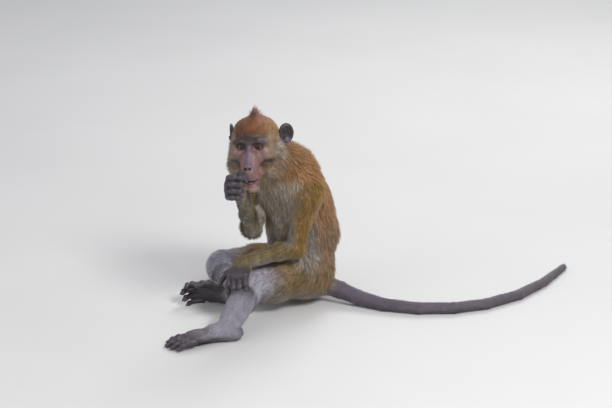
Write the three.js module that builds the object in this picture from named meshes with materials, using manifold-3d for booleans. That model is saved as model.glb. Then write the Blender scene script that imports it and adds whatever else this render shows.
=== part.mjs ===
// A life-size model of a long-tailed macaque (Macaca fascicularis) sitting on the ground, one leg stretched
// out and one folded across, the left hand on the left knee, the right fist at the mouth. Millimetres, +Z up.
// Every part follows a distance field round its bones, out to the tips of the coat: it is a sleeve of rings
// along them. Neighbours are parted by flat cuts, or give way to each other by a thin gap.
import * as THREE from "three";
import { mergeVertices } from "three/addons/utils/BufferGeometryUtils.js";
import Module from "manifold-3d";

const wasm = await Module();
wasm.setup();

// ---------------------------------------------------------------- driving dimensions
const HUMERUS_R = [26, 17.5, 15]; // upper arm: shoulder, middle, elbow
const FOREARM_R = [15, 14, 11]; // elbow, belly of the muscle, wrist
const THIGH_R = [38, 35, 27]; // hip, middle, knee
const SHIN_R = [26, 24.5, 17]; // knee, calf, ankle
const TAIL_R = [16, 15, 13, 11, 10.4, 10, 9.6, 9, 8.2, 6.6]; // root to tip
const TRUNK_TURN = 35; // degrees: the chest faces this far round from -X towards -Y
const HEAD_TURN = 12; // degrees: the face looks this far round from -Y towards -X
const HEAD_ROLL = 5; // degrees: the crown leans this far towards -X
const HEAD_LIFT = 5; // degrees above level
const EYE_R = 9; // eyeball
const EYE_HALF_GAP = 14.2; // half the distance between the pupils
const EAR_TURN = { left: 31, right: 78 }; // degrees: how far each ear is laid back
const LID_OPENING = [6.5, 4.8]; // half its width and half its height
const END_SINK = 0.97; // how far a sleeve's axis runs into its round ends, in parts of their radii
const WIDEST = 1.4; // how far out of its axis a limb or digit is looked for, in parts of its radius
const GAP = 0.4; // width of a flat cut between neighbouring parts
const CLEARANCE = 0.7; // how far a part stands back from one that it gives way to
const FLOOR_FLAT = 1.6; // the body is pressed this far flat where it meets the floor

// ---------------------------------------------------------------- vectors
const V = (x, y, z) => [x, y, z];
const add = (a, b) => [a[0] + b[0], a[1] + b[1], a[2] + b[2]];
const sub = (a, b) => [a[0] - b[0], a[1] - b[1], a[2] - b[2]];
const mul = (a, s) => [a[0] * s, a[1] * s, a[2] * s];
const dot = (a, b) => a[0] * b[0] + a[1] * b[1] + a[2] * b[2];
const cross = (a, b) => [a[1] * b[2] - a[2] * b[1], a[2] * b[0] - a[0] * b[2], a[0] * b[1] - a[1] * b[0]];
const size = (a) => Math.hypot(a[0], a[1], a[2]);
const unit = (a) => mul(a, 1 / size(a));
const mix = (a, b, t) => add(mul(a, 1 - t), mul(b, t));
const rad = (degrees) => (degrees * Math.PI) / 180;
const UP = V(0, 0, 1);

// A frame is an origin and three axes: forward, left, up.
const turned = (frame, f, l, u) => add(add(mul(frame.f, f), mul(frame.l, l)), mul(frame.u, u));
const at = (frame, f, l, u) => add(frame.o, turned(frame, f, l, u));

// ---------------------------------------------------------------- distance fields
// A bone with a round end of its own radius at each end.
function roundCone(a, ra, b, rb) {
  const axis = sub(b, a);
  const l2 = dot(axis, axis);
  const rr = ra - rb;
  const a2 = l2 - rr * rr;
  return (p) => {
    const pa = sub(p, a);
    const y = dot(pa, axis);
    const z = y - l2;
    const q = sub(mul(pa, l2), mul(axis, y));
    const x2 = dot(q, q);
    const y2 = y * y * l2;
    const z2 = z * z * l2;
    const k = Math.sign(rr) * rr * rr * x2;
    if (Math.sign(z) * a2 * z2 > k) return Math.sqrt(x2 + z2) / l2 - rb;
    if (Math.sign(y) * a2 * y2 < k) return Math.sqrt(x2 + y2) / l2 - ra;
    return (Math.sqrt((x2 * a2) / l2) + y * rr) / l2 - ra;
  };
}

// An ellipsoid with its radii along a frame's forward, left and up.
function ellipsoid(frame, c, [rf, rl, ru]) {
  return (p) => {
    const d = sub(p, c);
    const f = dot(d, frame.f) / rf;
    const l = dot(d, frame.l) / rl;
    const u = dot(d, frame.u) / ru;
    const near = Math.hypot(f, l, u);
    const steep = Math.hypot(f / rf, l / rl, u / ru);
    return steep < 1e-9 ? -Math.min(rf, rl, ru) : (near * (near - 1)) / steep;
  };
}

function smoothMin(a, b, k) {
  const h = Math.max(k - Math.abs(a - b), 0) / k;
  return Math.min(a, b) - (h * h * k) / 4;
}

// The union of fields with a fillet of about k.
const union = (k, fields) => (p) => fields.reduce((d, f) => smoothMin(d, f(p), k), 1e6);

// A run of round cones through points, with a radius at each.
function chain(points, radii, k = 6) {
  return union(k, points.slice(1).map((b, i) => roundCone(points[i], radii[i], b, radii[i + 1])));
}

// ---------------------------------------------------------------- skeleton
const trunk = {
  o: V(0, 0, 0),
  f: V(-Math.cos(rad(TRUNK_TURN)), -Math.sin(rad(TRUNK_TURN)), 0),
  l: V(Math.sin(rad(TRUNK_TURN)), -Math.cos(rad(TRUNK_TURN)), 0),
  u: UP,
};
const level = V(-Math.sin(rad(HEAD_TURN)), -Math.cos(rad(HEAD_TURN)), 0);
const head = {
  o: V(-96, -104, 291), // between the pupils
  f: add(mul(level, Math.cos(rad(HEAD_LIFT))), mul(UP, Math.sin(rad(HEAD_LIFT)))),
};
const headSide = cross(UP, level);
head.l = add(mul(headSide, Math.cos(rad(HEAD_ROLL))), mul(cross(head.f, headSide), Math.sin(rad(HEAD_ROLL))));
head.u = cross(head.f, head.l);
const H = (f, l, u) => at(head, f, l, u);

const spine = { pelvis: V(-16, 2, 52), belly: V(-14, -4, 112), chest: V(-24, -12, 165), back: V(-36, -22, 207) };
const neckBase = V(-44, -32, 228);
const arms = {
  left: { shoulder: V(-9, -62, 206), elbow: V(-25, -68, 115), wrist: V(-108, -89, 94) },
  right: { shoulder: V(-64, 14, 208), elbow: V(-94, -60, 144), wrist: V(-111, -129, 233) },
};
const legs = {
  left: { hip: V(-6, -22, 56), knee: V(-98, -80, 55), ankle: V(-131, -181, 21) },
  right: { hip: V(-30, 32, 50), knee: V(-142, 70, 27), ankle: V(-124, -36, 22) },
};
const tailPath = [
  V(14, -4, 28), V(42, -20, 23), V(70, -34, 16), V(112, -56, 11.6), V(166, -70, 10.6),
  V(220, -68, 10), V(274, -50, 9.6), V(328, -10, 9), V(372, 46, 8.2), V(410, 118, 6.6),
];

// ---------------------------------------------------------------- hands and feet
const FINGER_R = [5.4, 4.9, 4.6, 3.9];
const FINGERS = [[16, 11, 8], [19, 12, 9], [18, 11, 9], [14, 9, 7]]; // index to little
const THUMB = { lengths: [15, 11, 8], radii: [7, 5.4, 4.6, 3.8] };
const TOE_R = [5.8, 5, 4.6, 3.8];
const TOES = [[15, 10, 8], [17, 11, 8], [16, 10, 8], [13, 9, 7]]; // second to fifth
const BIG_TOE = { lengths: [19, 12, 9], radii: [8.4, 6.8, 6, 5] };

// A finger or toe: from its root it runs along `along` and bends towards `curl` by each angle in turn.
function digit(root, along, curl, lengths, bends, radii) {
  const points = [root];
  let turn = 0;
  lengths.forEach((length, i) => {
    turn += rad(bends[i]);
    const way = add(mul(along, Math.cos(turn)), mul(curl, Math.sin(turn)));
    points.push(add(points[i], mul(way, length)));
  });
  return { points, radii };
}

// `across` runs from the index to the little finger, `palmar` is 1 or -1 and picks the palm's side.
function handOf({ wrist, along, across, palmar, palm, spread, bends, thumb }) {
  const w = unit(sub(across, mul(along, dot(across, along))));
  const frame = { o: wrist, f: along, l: w, u: mul(cross(along, w), palmar) };
  const roots = FINGERS.map((_, i) => at(frame, palm - Math.abs(i - 1.2) * 1.6, (i - 1.5) * spread, 0));
  const fingers = FINGERS.map((lengths, i) =>
    digit(roots[i], unit(turned(frame, 1, (i - 1.5) * 0.07, 0)), frame.u, lengths, bends, FINGER_R),
  );
  const thumbAlong = unit(turned(frame, ...thumb.along));
  const thumbCurl = unit(turned(frame, ...thumb.curl));
  fingers.push(digit(at(frame, 8, -12, 4), thumbAlong, thumbCurl, THUMB.lengths, thumb.bends, THUMB.radii));
  const field = union(7, [
    ellipsoid(frame, at(frame, palm * 0.55, 0, 1), [palm * 0.72, spread * 1.5 + 5, 9]),
    roundCone(wrist, 11.5, at(frame, palm * 0.4, 0, 0), 11.5),
    ...roots.map((root) => roundCone(at(frame, 6, 0, 0), 8, root, 6)),
  ]);
  return { digits: fingers, field, axis: [at(frame, -11, 0, 0), at(frame, palm + 4, 0, 0)] };
}

// `across` runs from the big toe's side to the outer side, `sole` points out of the sole.
function footOf({ ankle, heel, along, across, sole, length, bends, big }) {
  const w = unit(sub(across, mul(along, dot(across, along))));
  const frame = { o: heel, f: along, l: w, u: mul(sole, -1) };
  const toes = TOES.map((lengths, i) => {
    const root = at(frame, length - Math.abs(i - 1) * 2.4, (i - 1.2) * 8.6, 3);
    return digit(root, unit(turned(frame, 1, (i - 1.2) * 0.1, 0)), sole, lengths, bends, TOE_R);
  });
  const bigAlong = unit(turned(frame, ...big.along));
  const bigCurl = unit(turned(frame, ...big.curl));
  toes.push(digit(at(frame, length * 0.52, -11, 1), bigAlong, bigCurl, BIG_TOE.lengths, big.bends, BIG_TOE.radii));
  const field = union(9, [
    roundCone(ankle, 15.5, at(frame, 2, 0, 3), 12.5),
    roundCone(at(frame, 0, 0, 1), 12, at(frame, length * 0.5, 0, 7), 12.5),
    roundCone(ankle, 15.5, at(frame, length * 0.45, 0, 8), 12),
    ellipsoid(frame, at(frame, length * 0.78, -1, 4.5), [24, 19, 10.5]),
  ]);
  return { digits: toes, field, axis: [at(frame, -13, 0, 4), at(frame, length + 4, 0, 5)] };
}

const hands = {
  left: handOf({
    wrist: arms.left.wrist, along: unit(V(-0.3, -0.86, -0.4)), across: V(1, 0.05, 0.25), palmar: -1,
    palm: 29, spread: 8.8, bends: [45, 20, 14],
    thumb: { along: [0.55, -0.75, 0.3], curl: [0.4, 0.2, 0.9], bends: [0, 20, 15] },
  }),
  right: handOf({
    wrist: arms.right.wrist, along: unit(V(-0.6, -0.74, 0.3)), across: V(0.05, -0.2, -0.97), palmar: 1,
    palm: 30, spread: 9.6, bends: [58, 62, 52],
    thumb: { along: [0.55, -0.6, 0.5], curl: [0.16, 0.6, 0.72], bends: [0, 75, 35] },
  }),
};
const feet = {
  left: footOf({
    ankle: legs.left.ankle, heel: V(-120, -178, 11), along: unit(V(-0.94, -0.34, 0)), across: V(0.34, -0.94, 0),
    sole: V(0, 0, -1), length: 74, bends: [4, 12, 14],
    big: { along: [0.82, -0.55, -0.05], curl: [0.3, 0.3, -0.9], bends: [0, 14, 10] },
  }),
  right: footOf({
    ankle: legs.right.ankle, heel: V(-110, -44, 15), along: unit(V(-0.96, 0.27, 0.08)), across: V(0, 0, -1),
    sole: unit(V(-0.27, -0.96, -0.08)), length: 72, bends: [22, 34, 30],
    big: { along: [0.85, -0.42, -0.3], curl: [0.25, 0.55, -0.8], bends: [0, 30, 25] },
  }),
};

// ---------------------------------------------------------------- fields of the body and the head
const both = (make) => [make(1), make(-1)];

const neckField = roundCone(neckBase, 44, H(-48, 0, -12), 38);
const trunkField = union(34, [
  ellipsoid(trunk, spine.pelvis, [42, 48, 53]),
  ellipsoid(trunk, spine.belly, [62, 50, 58]),
  ellipsoid(trunk, spine.chest, [60, 49, 54]),
  ellipsoid(trunk, spine.back, [51, 53, 46]),
  neckField,
]);
const skullField = union(10, [
  ellipsoid(head, H(-43, 0, 6), [47, 40.5, 36]),
  roundCone(H(-2, -21, 9), 8.5, H(-2, 21, 9), 8.5), // brow ridge
  ...both((s) => ellipsoid(head, H(-12, 22 * s, -13), [18, 17, 18])), // cheekbones
  ...both((s) => ellipsoid(head, H(-32, 30 * s, -27), [27, 18, 34])), // cheek whiskers
  roundCone(H(-2, 0, -16), 18, H(17, 0, -36), 13.5), // muzzle
  ellipsoid(head, H(13.5, 0, -43), [12.5, 15.5, 9.5]), // upper lip
  roundCone(H(3, 0, 1), 5.5, H(23.5, 0, -26), 6.3), // bridge of the nose
  ellipsoid(head, H(-26, 0, -34), [28, 30, 26]), // throat fur
]);
const crestField = roundCone(H(-36, 1, 30), 12, H(-38, 2.4, 54), 2.2);
const jawField = union(8, [
  roundCone(H(-20, 0, -42), 17, H(5, 0, -57), 12),
  ellipsoid(head, H(7, 0, -62), [13.5, 13.5, 10]),
]);

const limbOf = (a, b, radii) => chain([a, mix(a, b, 0.5), b], radii);
const lowerLimbOf = (a, b, radii) => chain([a, mix(a, b, 0.3), b], radii);

// ---------------------------------------------------------------- solids
const solidFrom = (positions, triangles) =>
  new wasm.Manifold(new wasm.Mesh({
    numProp: 3,
    vertProperties: new Float32Array(positions),
    triVerts: new Uint32Array(triangles),
  }));

function solidOfGeometry(geometry) {
  const bare = geometry.clone();
  bare.deleteAttribute("normal");
  bare.deleteAttribute("uv");
  const merged = mergeVertices(bare);
  return solidFrom(merged.attributes.position.array, merged.index.array);
}

// How far the surface lies from a point inside, in one direction.
const NEAREST = 0.4; // where the search starts
const TOUCHING = 0.02; // how close to the surface it stops
const MOST_STEPS = 40;
function depthOf(field, from, way, reach) {
  let r = NEAREST;
  for (let step = 0; step < MOST_STEPS; step++) {
    const d = field(add(from, mul(way, r)));
    if (d > -TOUCHING) break;
    r -= d;
    if (r > reach) return reach;
  }
  return Math.min(r, reach);
}

// A closed sleeve of rings round an axis through points, out to where the field is `grow`. `ease` crowds the
// rings towards both ends, which are rounded when the axis runs out to the surface. Rings lie square to the
// axis, or square to `upright` where one is given.
function sleeve(axis, field, { sides, rings, reach, grow = 0, ease = 0.5, upright = null }) {
  const curve = new THREE.CatmullRomCurve3(axis.map((p) => new THREE.Vector3(...p)), false, "centripetal");
  const grown = (p) => field(p) - grow;
  const positions = [];
  const triangles = [];
  for (let ring = 0; ring < rings; ring++) {
    const even = ring / (rings - 1);
    const t = even * (1 - ease) + ease * (0.5 - 0.5 * Math.cos(Math.PI * even));
    const centre = curve.getPointAt(t).toArray();
    const along = upright ?? curve.getTangentAt(t).toArray();
    const side = unit(cross(along, Math.abs(along[2]) > 0.9 ? trunk.l : UP));
    const over = cross(side, along);
    for (let i = 0; i < sides; i++) {
      const a = (2 * Math.PI * i) / sides;
      const way = add(mul(side, Math.cos(a)), mul(over, Math.sin(a)));
      positions.push(...add(centre, mul(way, depthOf(grown, centre, way, reach))));
    }
  }
  const first = positions.length / 3;
  positions.push(...curve.getPointAt(0).toArray(), ...curve.getPointAt(1).toArray());
  for (let i = 0; i < sides; i++) {
    const j = (i + 1) % sides;
    triangles.push(first, i, j);
    const last = (rings - 1) * sides;
    triangles.push(first + 1, last + j, last + i);
    for (let ring = 0; ring < rings - 1; ring++) {
      const [a, b] = [ring * sides + i, ring * sides + j];
      const [c, d] = [a + sides, b + sides];
      triangles.push(a, c, b, b, c, d);
    }
  }
  const solid = solidFrom(positions, triangles);
  return solid.volume() > 0 ? solid : solidFrom(positions, triangles.reverse());
}

// Everything on the far side of a flat cut, as a block to take away. `normal` points at what goes.
const BLOCK = 900;
function beyond(point, normal) {
  const block = new THREE.BoxGeometry(BLOCK, BLOCK, BLOCK).translate(0, 0, BLOCK / 2);
  const turn = new THREE.Quaternion().setFromUnitVectors(new THREE.Vector3(0, 0, 1), new THREE.Vector3(...normal));
  block.applyQuaternion(turn);
  block.translate(...point);
  return solidOfGeometry(block);
}

// ---------------------------------------------------------------- parts
// A cut at a joint: the upper part keeps what lies before it, the lower part what lies behind it.
const cutBetween = (a, joint, c) => ({ point: joint, normal: unit(add(unit(sub(joint, a)), unit(sub(c, joint)))) });
const before = (solid, cut) => solid.subtract(beyond(add(cut.point, mul(cut.normal, -GAP / 2)), cut.normal));
const behind = (solid, cut) =>
  solid.subtract(beyond(add(cut.point, mul(cut.normal, GAP / 2)), mul(cut.normal, -1)));

const overEnds = (a, ra, b, rb) => {
  const way = unit(sub(b, a));
  return [sub(a, mul(way, ra * END_SINK)), add(b, mul(way, rb * END_SINK))];
};
const bone = (a, b, radii, field, grow, sides, rings) =>
  sleeve(overEnds(a, radii[0] + grow, b, radii[2] + grow), field, { sides, rings, grow, reach: radii[0] * WIDEST });

function digitSolid({ points, radii }, grow) {
  const tipWay = unit(sub(points[3], points[2]));
  const axis = [...points.slice(0, 3), add(points[3], mul(tipWay, (radii[3] + grow) * END_SINK))];
  return sleeve(axis, chain(points, radii, 3), { sides: 6, rings: 5, grow, reach: radii[0] * WIDEST, ease: 0.25 });
}

const extremity = ({ digits, field, axis }, grow, sides, rings, reach) =>
  digits.reduce((solid, d) => solid.add(digitSolid(d, grow)), sleeve(axis, field, { sides, rings, reach, grow }));

function armParts(side, grow) {
  const { shoulder, elbow, wrist } = arms[side];
  const upper = limbOf(shoulder, elbow, HUMERUS_R);
  const lower = lowerLimbOf(elbow, wrist, FOREARM_R);
  const elbowCut = cutBetween(shoulder, elbow, wrist);
  const wristCut = { point: wrist, normal: unit(sub(wrist, elbow)) };
  const hand = extremity(hands[side], grow, 10, 6, 27);
  return {
    ["upper_arm_" + side]: before(bone(shoulder, elbow, HUMERUS_R, upper, grow, 12, 8), elbowCut),
    ["forearm_" + side]: before(behind(bone(elbow, wrist, FOREARM_R, lower, grow, 12, 8), elbowCut), wristCut),
    ["hand_" + side]: behind(hand, wristCut),
  };
}

function legParts(side, grow) {
  const { hip, knee, ankle } = legs[side];
  const upper = limbOf(hip, knee, THIGH_R);
  const lower = lowerLimbOf(knee, ankle, SHIN_R);
  const kneeCut = cutBetween(hip, knee, ankle);
  const ankleCut = { point: ankle, normal: unit(sub(ankle, knee)) };
  return {
    ["thigh_" + side]: before(bone(hip, knee, THIGH_R, upper, grow, 12, 8), kneeCut),
    ["shin_" + side]: before(behind(bone(knee, ankle, SHIN_R, lower, grow, 12, 8), kneeCut), ankleCut),
  };
}

const footPart = (side, grow) => ({ ["foot_" + side]: extremity(feet[side], grow, 10, 6, 34) });

// The tail is parted where its joints are, in four lengths.
const TAIL_JOINTS = [3, 5, 7];
function tailParts(grow) {
  const tipWay = unit(sub(tailPath[9], tailPath[8]));
  const axis = [...tailPath.slice(0, 9), add(tailPath[9], mul(tipWay, TAIL_R[9] * END_SINK))];
  const whole = sleeve(axis, chain(tailPath, TAIL_R, 2), { sides: 8, rings: 19, grow, reach: 20, ease: 0.15 });
  const cuts = TAIL_JOINTS.map((j) => cutBetween(tailPath[j - 1], tailPath[j], tailPath[j + 1]));
  return {
    tail_1: before(whole, cuts[0]),
    tail_2: before(behind(whole, cuts[0]), cuts[1]),
    tail_3: before(behind(whole, cuts[1]), cuts[2]),
    tail_4: behind(whole, cuts[2]),
  };
}

const TRUNK_CUTS = [V(-10, 0, 84), V(-18, -8, 142)];
const NECK_TOP = H(-46, 0, -8);
function trunkParts() {
  const axis = [V(-4, 3, -0.5), V(-14, -4, 106), spine.back, NECK_TOP];
  const whole = sleeve(axis, trunkField, { sides: 16, rings: 13, reach: 80, ease: 0.3, upright: UP });
  const level1 = { point: TRUNK_CUTS[0], normal: UP };
  const level2 = { point: TRUNK_CUTS[1], normal: UP };
  const neckCut = { point: neckBase, normal: unit(sub(NECK_TOP, spine.back)) };
  return {
    pelvis: before(whole, level1),
    abdomen: before(behind(whole, level1), level2),
    chest: before(behind(whole, level2), neckCut),
    neck: behind(whole, neckCut),
  };
}

function skullPart(grow) {
  const axis = [H(-90, 0, 6), H(-43, 0, 1), H(-4, 0, -12), H(29, 0, -40)];
  const crest = sleeve([H(-35, 0.5, 22), H(-38.1, 2.5, 55.5)], crestField, { sides: 8, rings: 5, reach: 20, grow });
  const whole = sleeve(axis, skullField, { sides: 17, rings: 13, reach: 75, grow }).add(crest);
  return { skull: grow ? whole : whole.subtract(lidOpening("left")).subtract(lidOpening("right")) };
}

const jawPart = (grow) => ({
  jaw: sleeve([H(-34, 0, -36), H(17, 0, -66)], jawField, { sides: 12, rings: 7, reach: 30, grow }),
});

// An ear is a flat bowl that stands out from the side of the head.
function earPart(side, grow) {
  const s = side === "left" ? 1 : -1;
  const turn = rad(EAR_TURN[side]);
  const out = turned(head, -Math.sin(turn), s * Math.cos(turn), 0);
  const face = turned(head, Math.cos(turn), s * Math.sin(turn), 0);
  const frame = { o: H(-49, 39.5 * s, 8), f: face, l: out, u: head.u };
  const disc = sleeve([at(frame, 0, -5.5 - grow, 1), at(frame, 0, 21.2 + grow, 1)],
    ellipsoid(frame, at(frame, 0, 8, 1), [5.2, 13.5, 17]), { sides: 10, rings: 6, reach: 30, grow });
  const bowl = sleeve([at(frame, 6.5, -0.8, 1), at(frame, 6.5, 17.8, 1)],
    ellipsoid(frame, at(frame, 6.5, 8.5, 1), [7, 9.4, 12.5]), { sides: 8, rings: 4, reach: 30 });
  return { ["ear_" + side]: grow ? disc : disc.subtract(bowl) };
}

const eyeGeometry = (side, r) => {
  const centre = H(-EYE_R, EYE_HALF_GAP * (side === "left" ? 1 : -1), 0);
  return new THREE.SphereGeometry(r, 10, 7).translate(...centre);
};
const eyePart = (side, grow) => ({ ["eye_" + side]: solidOfGeometry(eyeGeometry(side, EYE_R + grow)) });

// The opening between the lids, from inside each eye's socket out through the face.
function lidOpening(side) {
  const geometry = new THREE.CylinderGeometry(LID_OPENING[0], LID_OPENING[0], 30, 8).rotateX(Math.PI / 2);
  geometry.scale(1, LID_OPENING[1] / LID_OPENING[0], 1).translate(0, 0, 10);
  const turn = new THREE.Matrix4().makeBasis(...[head.l, head.u, head.f].map((a) => new THREE.Vector3(...a)));
  turn.setPosition(...H(0, EYE_HALF_GAP * (side === "left" ? 1 : -1), 0));
  return solidOfGeometry(geometry.applyMatrix4(turn));
}

// Groups in order: each gives way to all that come before it.
const GROUPS = [
  (grow) => eyePart("left", grow),
  (grow) => eyePart("right", grow),
  (grow) => earPart("left", grow),
  (grow) => earPart("right", grow),
  (grow) => armParts("left", grow),
  (grow) => armParts("right", grow),
  jawPart,
  skullPart,
  tailParts,
  (grow) => footPart("left", grow),
  (grow) => footPart("right", grow),
  (grow) => legParts("left", grow),
  (grow) => legParts("right", grow),
  trunkParts,
];

const boxesMeet = (a, b) =>
  [0, 1, 2].every((i) => a.min[i] < b.max[i] && b.min[i] < a.max[i]);
const largest = (solid) => solid.decompose().sort((a, b) => b.volume() - a.volume())[0];

const solids = new Map();
const cutters = [beyond(V(0, 0, FLOOR_FLAT), V(0, 0, -1))];
for (const group of GROUPS) {
  const finished = Object.entries(group(0)).map(([name, whole]) => {
    let solid = whole;
    for (const cutter of cutters)
      if (boxesMeet(solid.boundingBox(), cutter.boundingBox())) solid = solid.subtract(cutter);
    return [name, largest(solid)];
  });
  finished.forEach(([name, solid]) => solids.set(name, solid));
  if (group === trunkParts) continue;
  cutters.push(...Object.values(group(CLEARANCE)), ...finished.map(([, solid]) => solid));
}

// ---------------------------------------------------------------- model
const COLOURS = {
  bare: { color: 0x4a4347, roughness: 0.75 },
  grey: { color: 0x8d8886, roughness: 0.9 },
  brown: { color: 0x8a6a44, roughness: 0.9 },
  face: { color: 0x8f6f6c, roughness: 0.7 },
  eye: { color: 0x5a3a1c, roughness: 0.15 },
};
function colourOf(name) {
  if (/eye/.test(name)) return COLOURS.eye;
  if (/hand|foot|ear_/.test(name)) return COLOURS.bare;
  if (/jaw/.test(name)) return COLOURS.face;
  if (/shin|tail|abdomen/.test(name)) return COLOURS.grey;
  return COLOURS.brown;
}

function geometryOf(solid) {
  const mesh = solid.getMesh();
  const positions = new Float32Array(mesh.numVert * 3);
  for (let i = 0; i < mesh.numVert; i++)
    positions.set(mesh.vertProperties.subarray(i * mesh.numProp, i * mesh.numProp + 3), i * 3);
  const geometry = new THREE.BufferGeometry();
  geometry.setAttribute("position", new THREE.BufferAttribute(positions, 3));
  geometry.setIndex(new THREE.BufferAttribute(mesh.triVerts, 1));
  geometry.computeVertexNormals();
  return geometry;
}

const macaque = new THREE.Group();
for (const [name, solid] of solids) {
  const mesh = new THREE.Mesh(geometryOf(solid), new THREE.MeshStandardMaterial(colourOf(name)));
  mesh.name = name;
  macaque.add(mesh);
}
const box = new THREE.Box3().setFromObject(macaque, true);
const centre = box.getCenter(new THREE.Vector3());
macaque.position.set(-centre.x, -centre.y, -box.min.z);

export default macaque;
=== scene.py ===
# The looks of a life-size long-tailed macaque that sits on the ground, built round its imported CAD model.
# Shapes are worked out in millimetres in the pose's own frame and moved to the CAD model's frame at the end.
# The skin is one smooth distance field, and the coat is solid tufts that grow from it.
from concurrent.futures import ThreadPoolExecutor
from functools import partial

import bmesh
import bpy
import numpy as np
import openvdb
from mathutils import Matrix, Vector
from numpy.linalg import norm


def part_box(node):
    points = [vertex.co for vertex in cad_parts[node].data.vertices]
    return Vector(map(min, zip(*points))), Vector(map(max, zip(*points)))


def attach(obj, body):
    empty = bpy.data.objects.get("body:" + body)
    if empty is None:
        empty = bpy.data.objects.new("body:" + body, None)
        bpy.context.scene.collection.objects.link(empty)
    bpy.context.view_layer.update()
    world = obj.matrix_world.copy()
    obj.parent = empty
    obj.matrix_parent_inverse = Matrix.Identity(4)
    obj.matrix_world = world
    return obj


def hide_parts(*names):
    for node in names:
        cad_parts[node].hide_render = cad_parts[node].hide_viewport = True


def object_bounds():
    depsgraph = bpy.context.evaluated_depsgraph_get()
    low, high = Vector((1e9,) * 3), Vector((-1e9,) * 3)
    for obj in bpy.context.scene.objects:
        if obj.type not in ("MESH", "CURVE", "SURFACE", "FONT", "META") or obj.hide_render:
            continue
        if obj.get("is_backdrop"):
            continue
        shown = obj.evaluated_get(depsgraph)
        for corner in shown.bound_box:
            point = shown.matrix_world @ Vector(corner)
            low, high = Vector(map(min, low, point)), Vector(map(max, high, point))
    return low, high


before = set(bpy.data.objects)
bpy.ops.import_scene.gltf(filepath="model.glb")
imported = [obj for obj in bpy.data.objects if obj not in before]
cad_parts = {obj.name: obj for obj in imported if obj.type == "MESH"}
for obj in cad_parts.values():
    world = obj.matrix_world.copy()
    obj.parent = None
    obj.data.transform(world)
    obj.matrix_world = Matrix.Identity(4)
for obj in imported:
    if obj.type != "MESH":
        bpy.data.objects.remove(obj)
cad_low, cad_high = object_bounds()
rng = np.random.default_rng(7)

MM = 0.001
F = np.float32
SIDES = ("left", "right")
SIGNS = (1, -1)  # the head's left and right


# ---- vectors and frames
def vec(*xyz):
    return np.array(xyz, dtype=float)


def unit(a):
    a = np.asarray(a, dtype=float)
    return a / norm(a)


def units(a):
    return a / np.maximum(norm(a, axis=-1, keepdims=True), 1e-9)


def mix(a, b, t):
    return a * (1 - t) + b * t


def rad(degrees):
    return np.radians(degrees)


def smooth_step(x, low, high):
    t = np.clip((x - low) / (high - low), 0, 1)
    return t * t * (3 - 2 * t)


def bell(x, middle, width):
    return np.exp(-(((x - middle) / width) ** 2))


class Frame:
    """An origin and three axes: forward, left, up."""

    def __init__(self, origin, f, l, u):
        self.o = origin
        self.f = f
        self.l = l
        self.u = u

    def turned(self, f, l, u):
        return self.f * f + self.l * l + self.u * u

    def at(self, f, l, u):
        return self.o + self.turned(f, l, u)

    def local(self, p):
        d = p - self.o
        return np.stack([d @ self.f, d @ self.l, d @ self.u], axis=-1)


# ---- driving dimensions, as in the CAD model
TRUNK_R = dict(pelvis=[42, 48, 53], belly=[62, 50, 58], chest=[60, 49, 54], back=[51, 53, 46])
NECK_R = [44, 36]
HUMERUS_R = [26, 17.5, 15]
FOREARM_R = [15, 14, 11]
THIGH_R = [38, 35, 27]
SHIN_R = [26, 24.5, 17]
TAIL_R = [16, 15, 13, 11, 10.4, 10, 9.6, 9, 8.2, 6.6]
# how far the skin lies inside the tips of the coat, and bare skin inside the CAD solids
COAT = dict(
    trunk=9, seat=5, neck=8, arm=6, forearm=4, wrist=2, thigh=7.5, knee=5.5, shin=4, ankle=3, tail=2.6,
)
BARE = 0.7
# how softly each part runs into its neighbour, and how far from its joint a limb's fillet fades out
FILLET = dict(trunk=32, neck=28, head=12, ear=2.5, tail=16, foot=5, hand=4, hip=30, shoulder=24)
FILLET_REACH = dict(tail=60, hip=95, shoulder=78)

FINGER_R = [5.4, 4.9, 4.6, 3.9]
FINGERS = [[16, 11, 8], [19, 12, 9], [18, 11, 9], [14, 9, 7]]
THUMB = dict(lengths=[15, 11, 8], radii=[7, 5.4, 4.6, 3.8])
TOE_R = [5.8, 5, 4.6, 3.8]
TOES = [[15, 10, 8], [17, 11, 8], [16, 10, 8], [13, 9, 7]]
BIG_TOE = dict(lengths=[19, 12, 9], radii=[8.4, 6.8, 6, 5])

EYE_R = 9
EYE_HALF_GAP = 14.2
PUPIL_R = 2.3
IRIS_R = 5.7
CORNEA = 0.55  # how far the cornea bulges
LID_HALF_WIDTH = 6.6
LID_UPPER = 1.9  # how far the opening between the lids reaches above and below the pupil
LID_LOWER = 3.1
LID_TILT = 0.1
MOUTH_U = -52  # height of the middle of the mouth's slit, from the eyes
MOUTH_CURVE = 0.02  # how the slit rises to its corners
EAR_TURN = {1: 31, -1: 78}  # degrees: how far the left and the right ear are laid back
EAR_BOWL = ((5.6, 8.8, 0.5), [6.5, 9.6, 12.6])  # its middle forward, out and up in the ear, and its radii
CREST = (37, 1.5)  # how far the crest is behind the eyes and to the left
TOOTH = dict(width=2.1, height=2.8, depth=1.2)

TRUNK_TURN = 35
HEAD_TURN = 12
HEAD_ROLL = 5
HEAD_LIFT = 5
FLOOR_FLAT = 1.6  # height of the flattened underside, which lies on the floor

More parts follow.
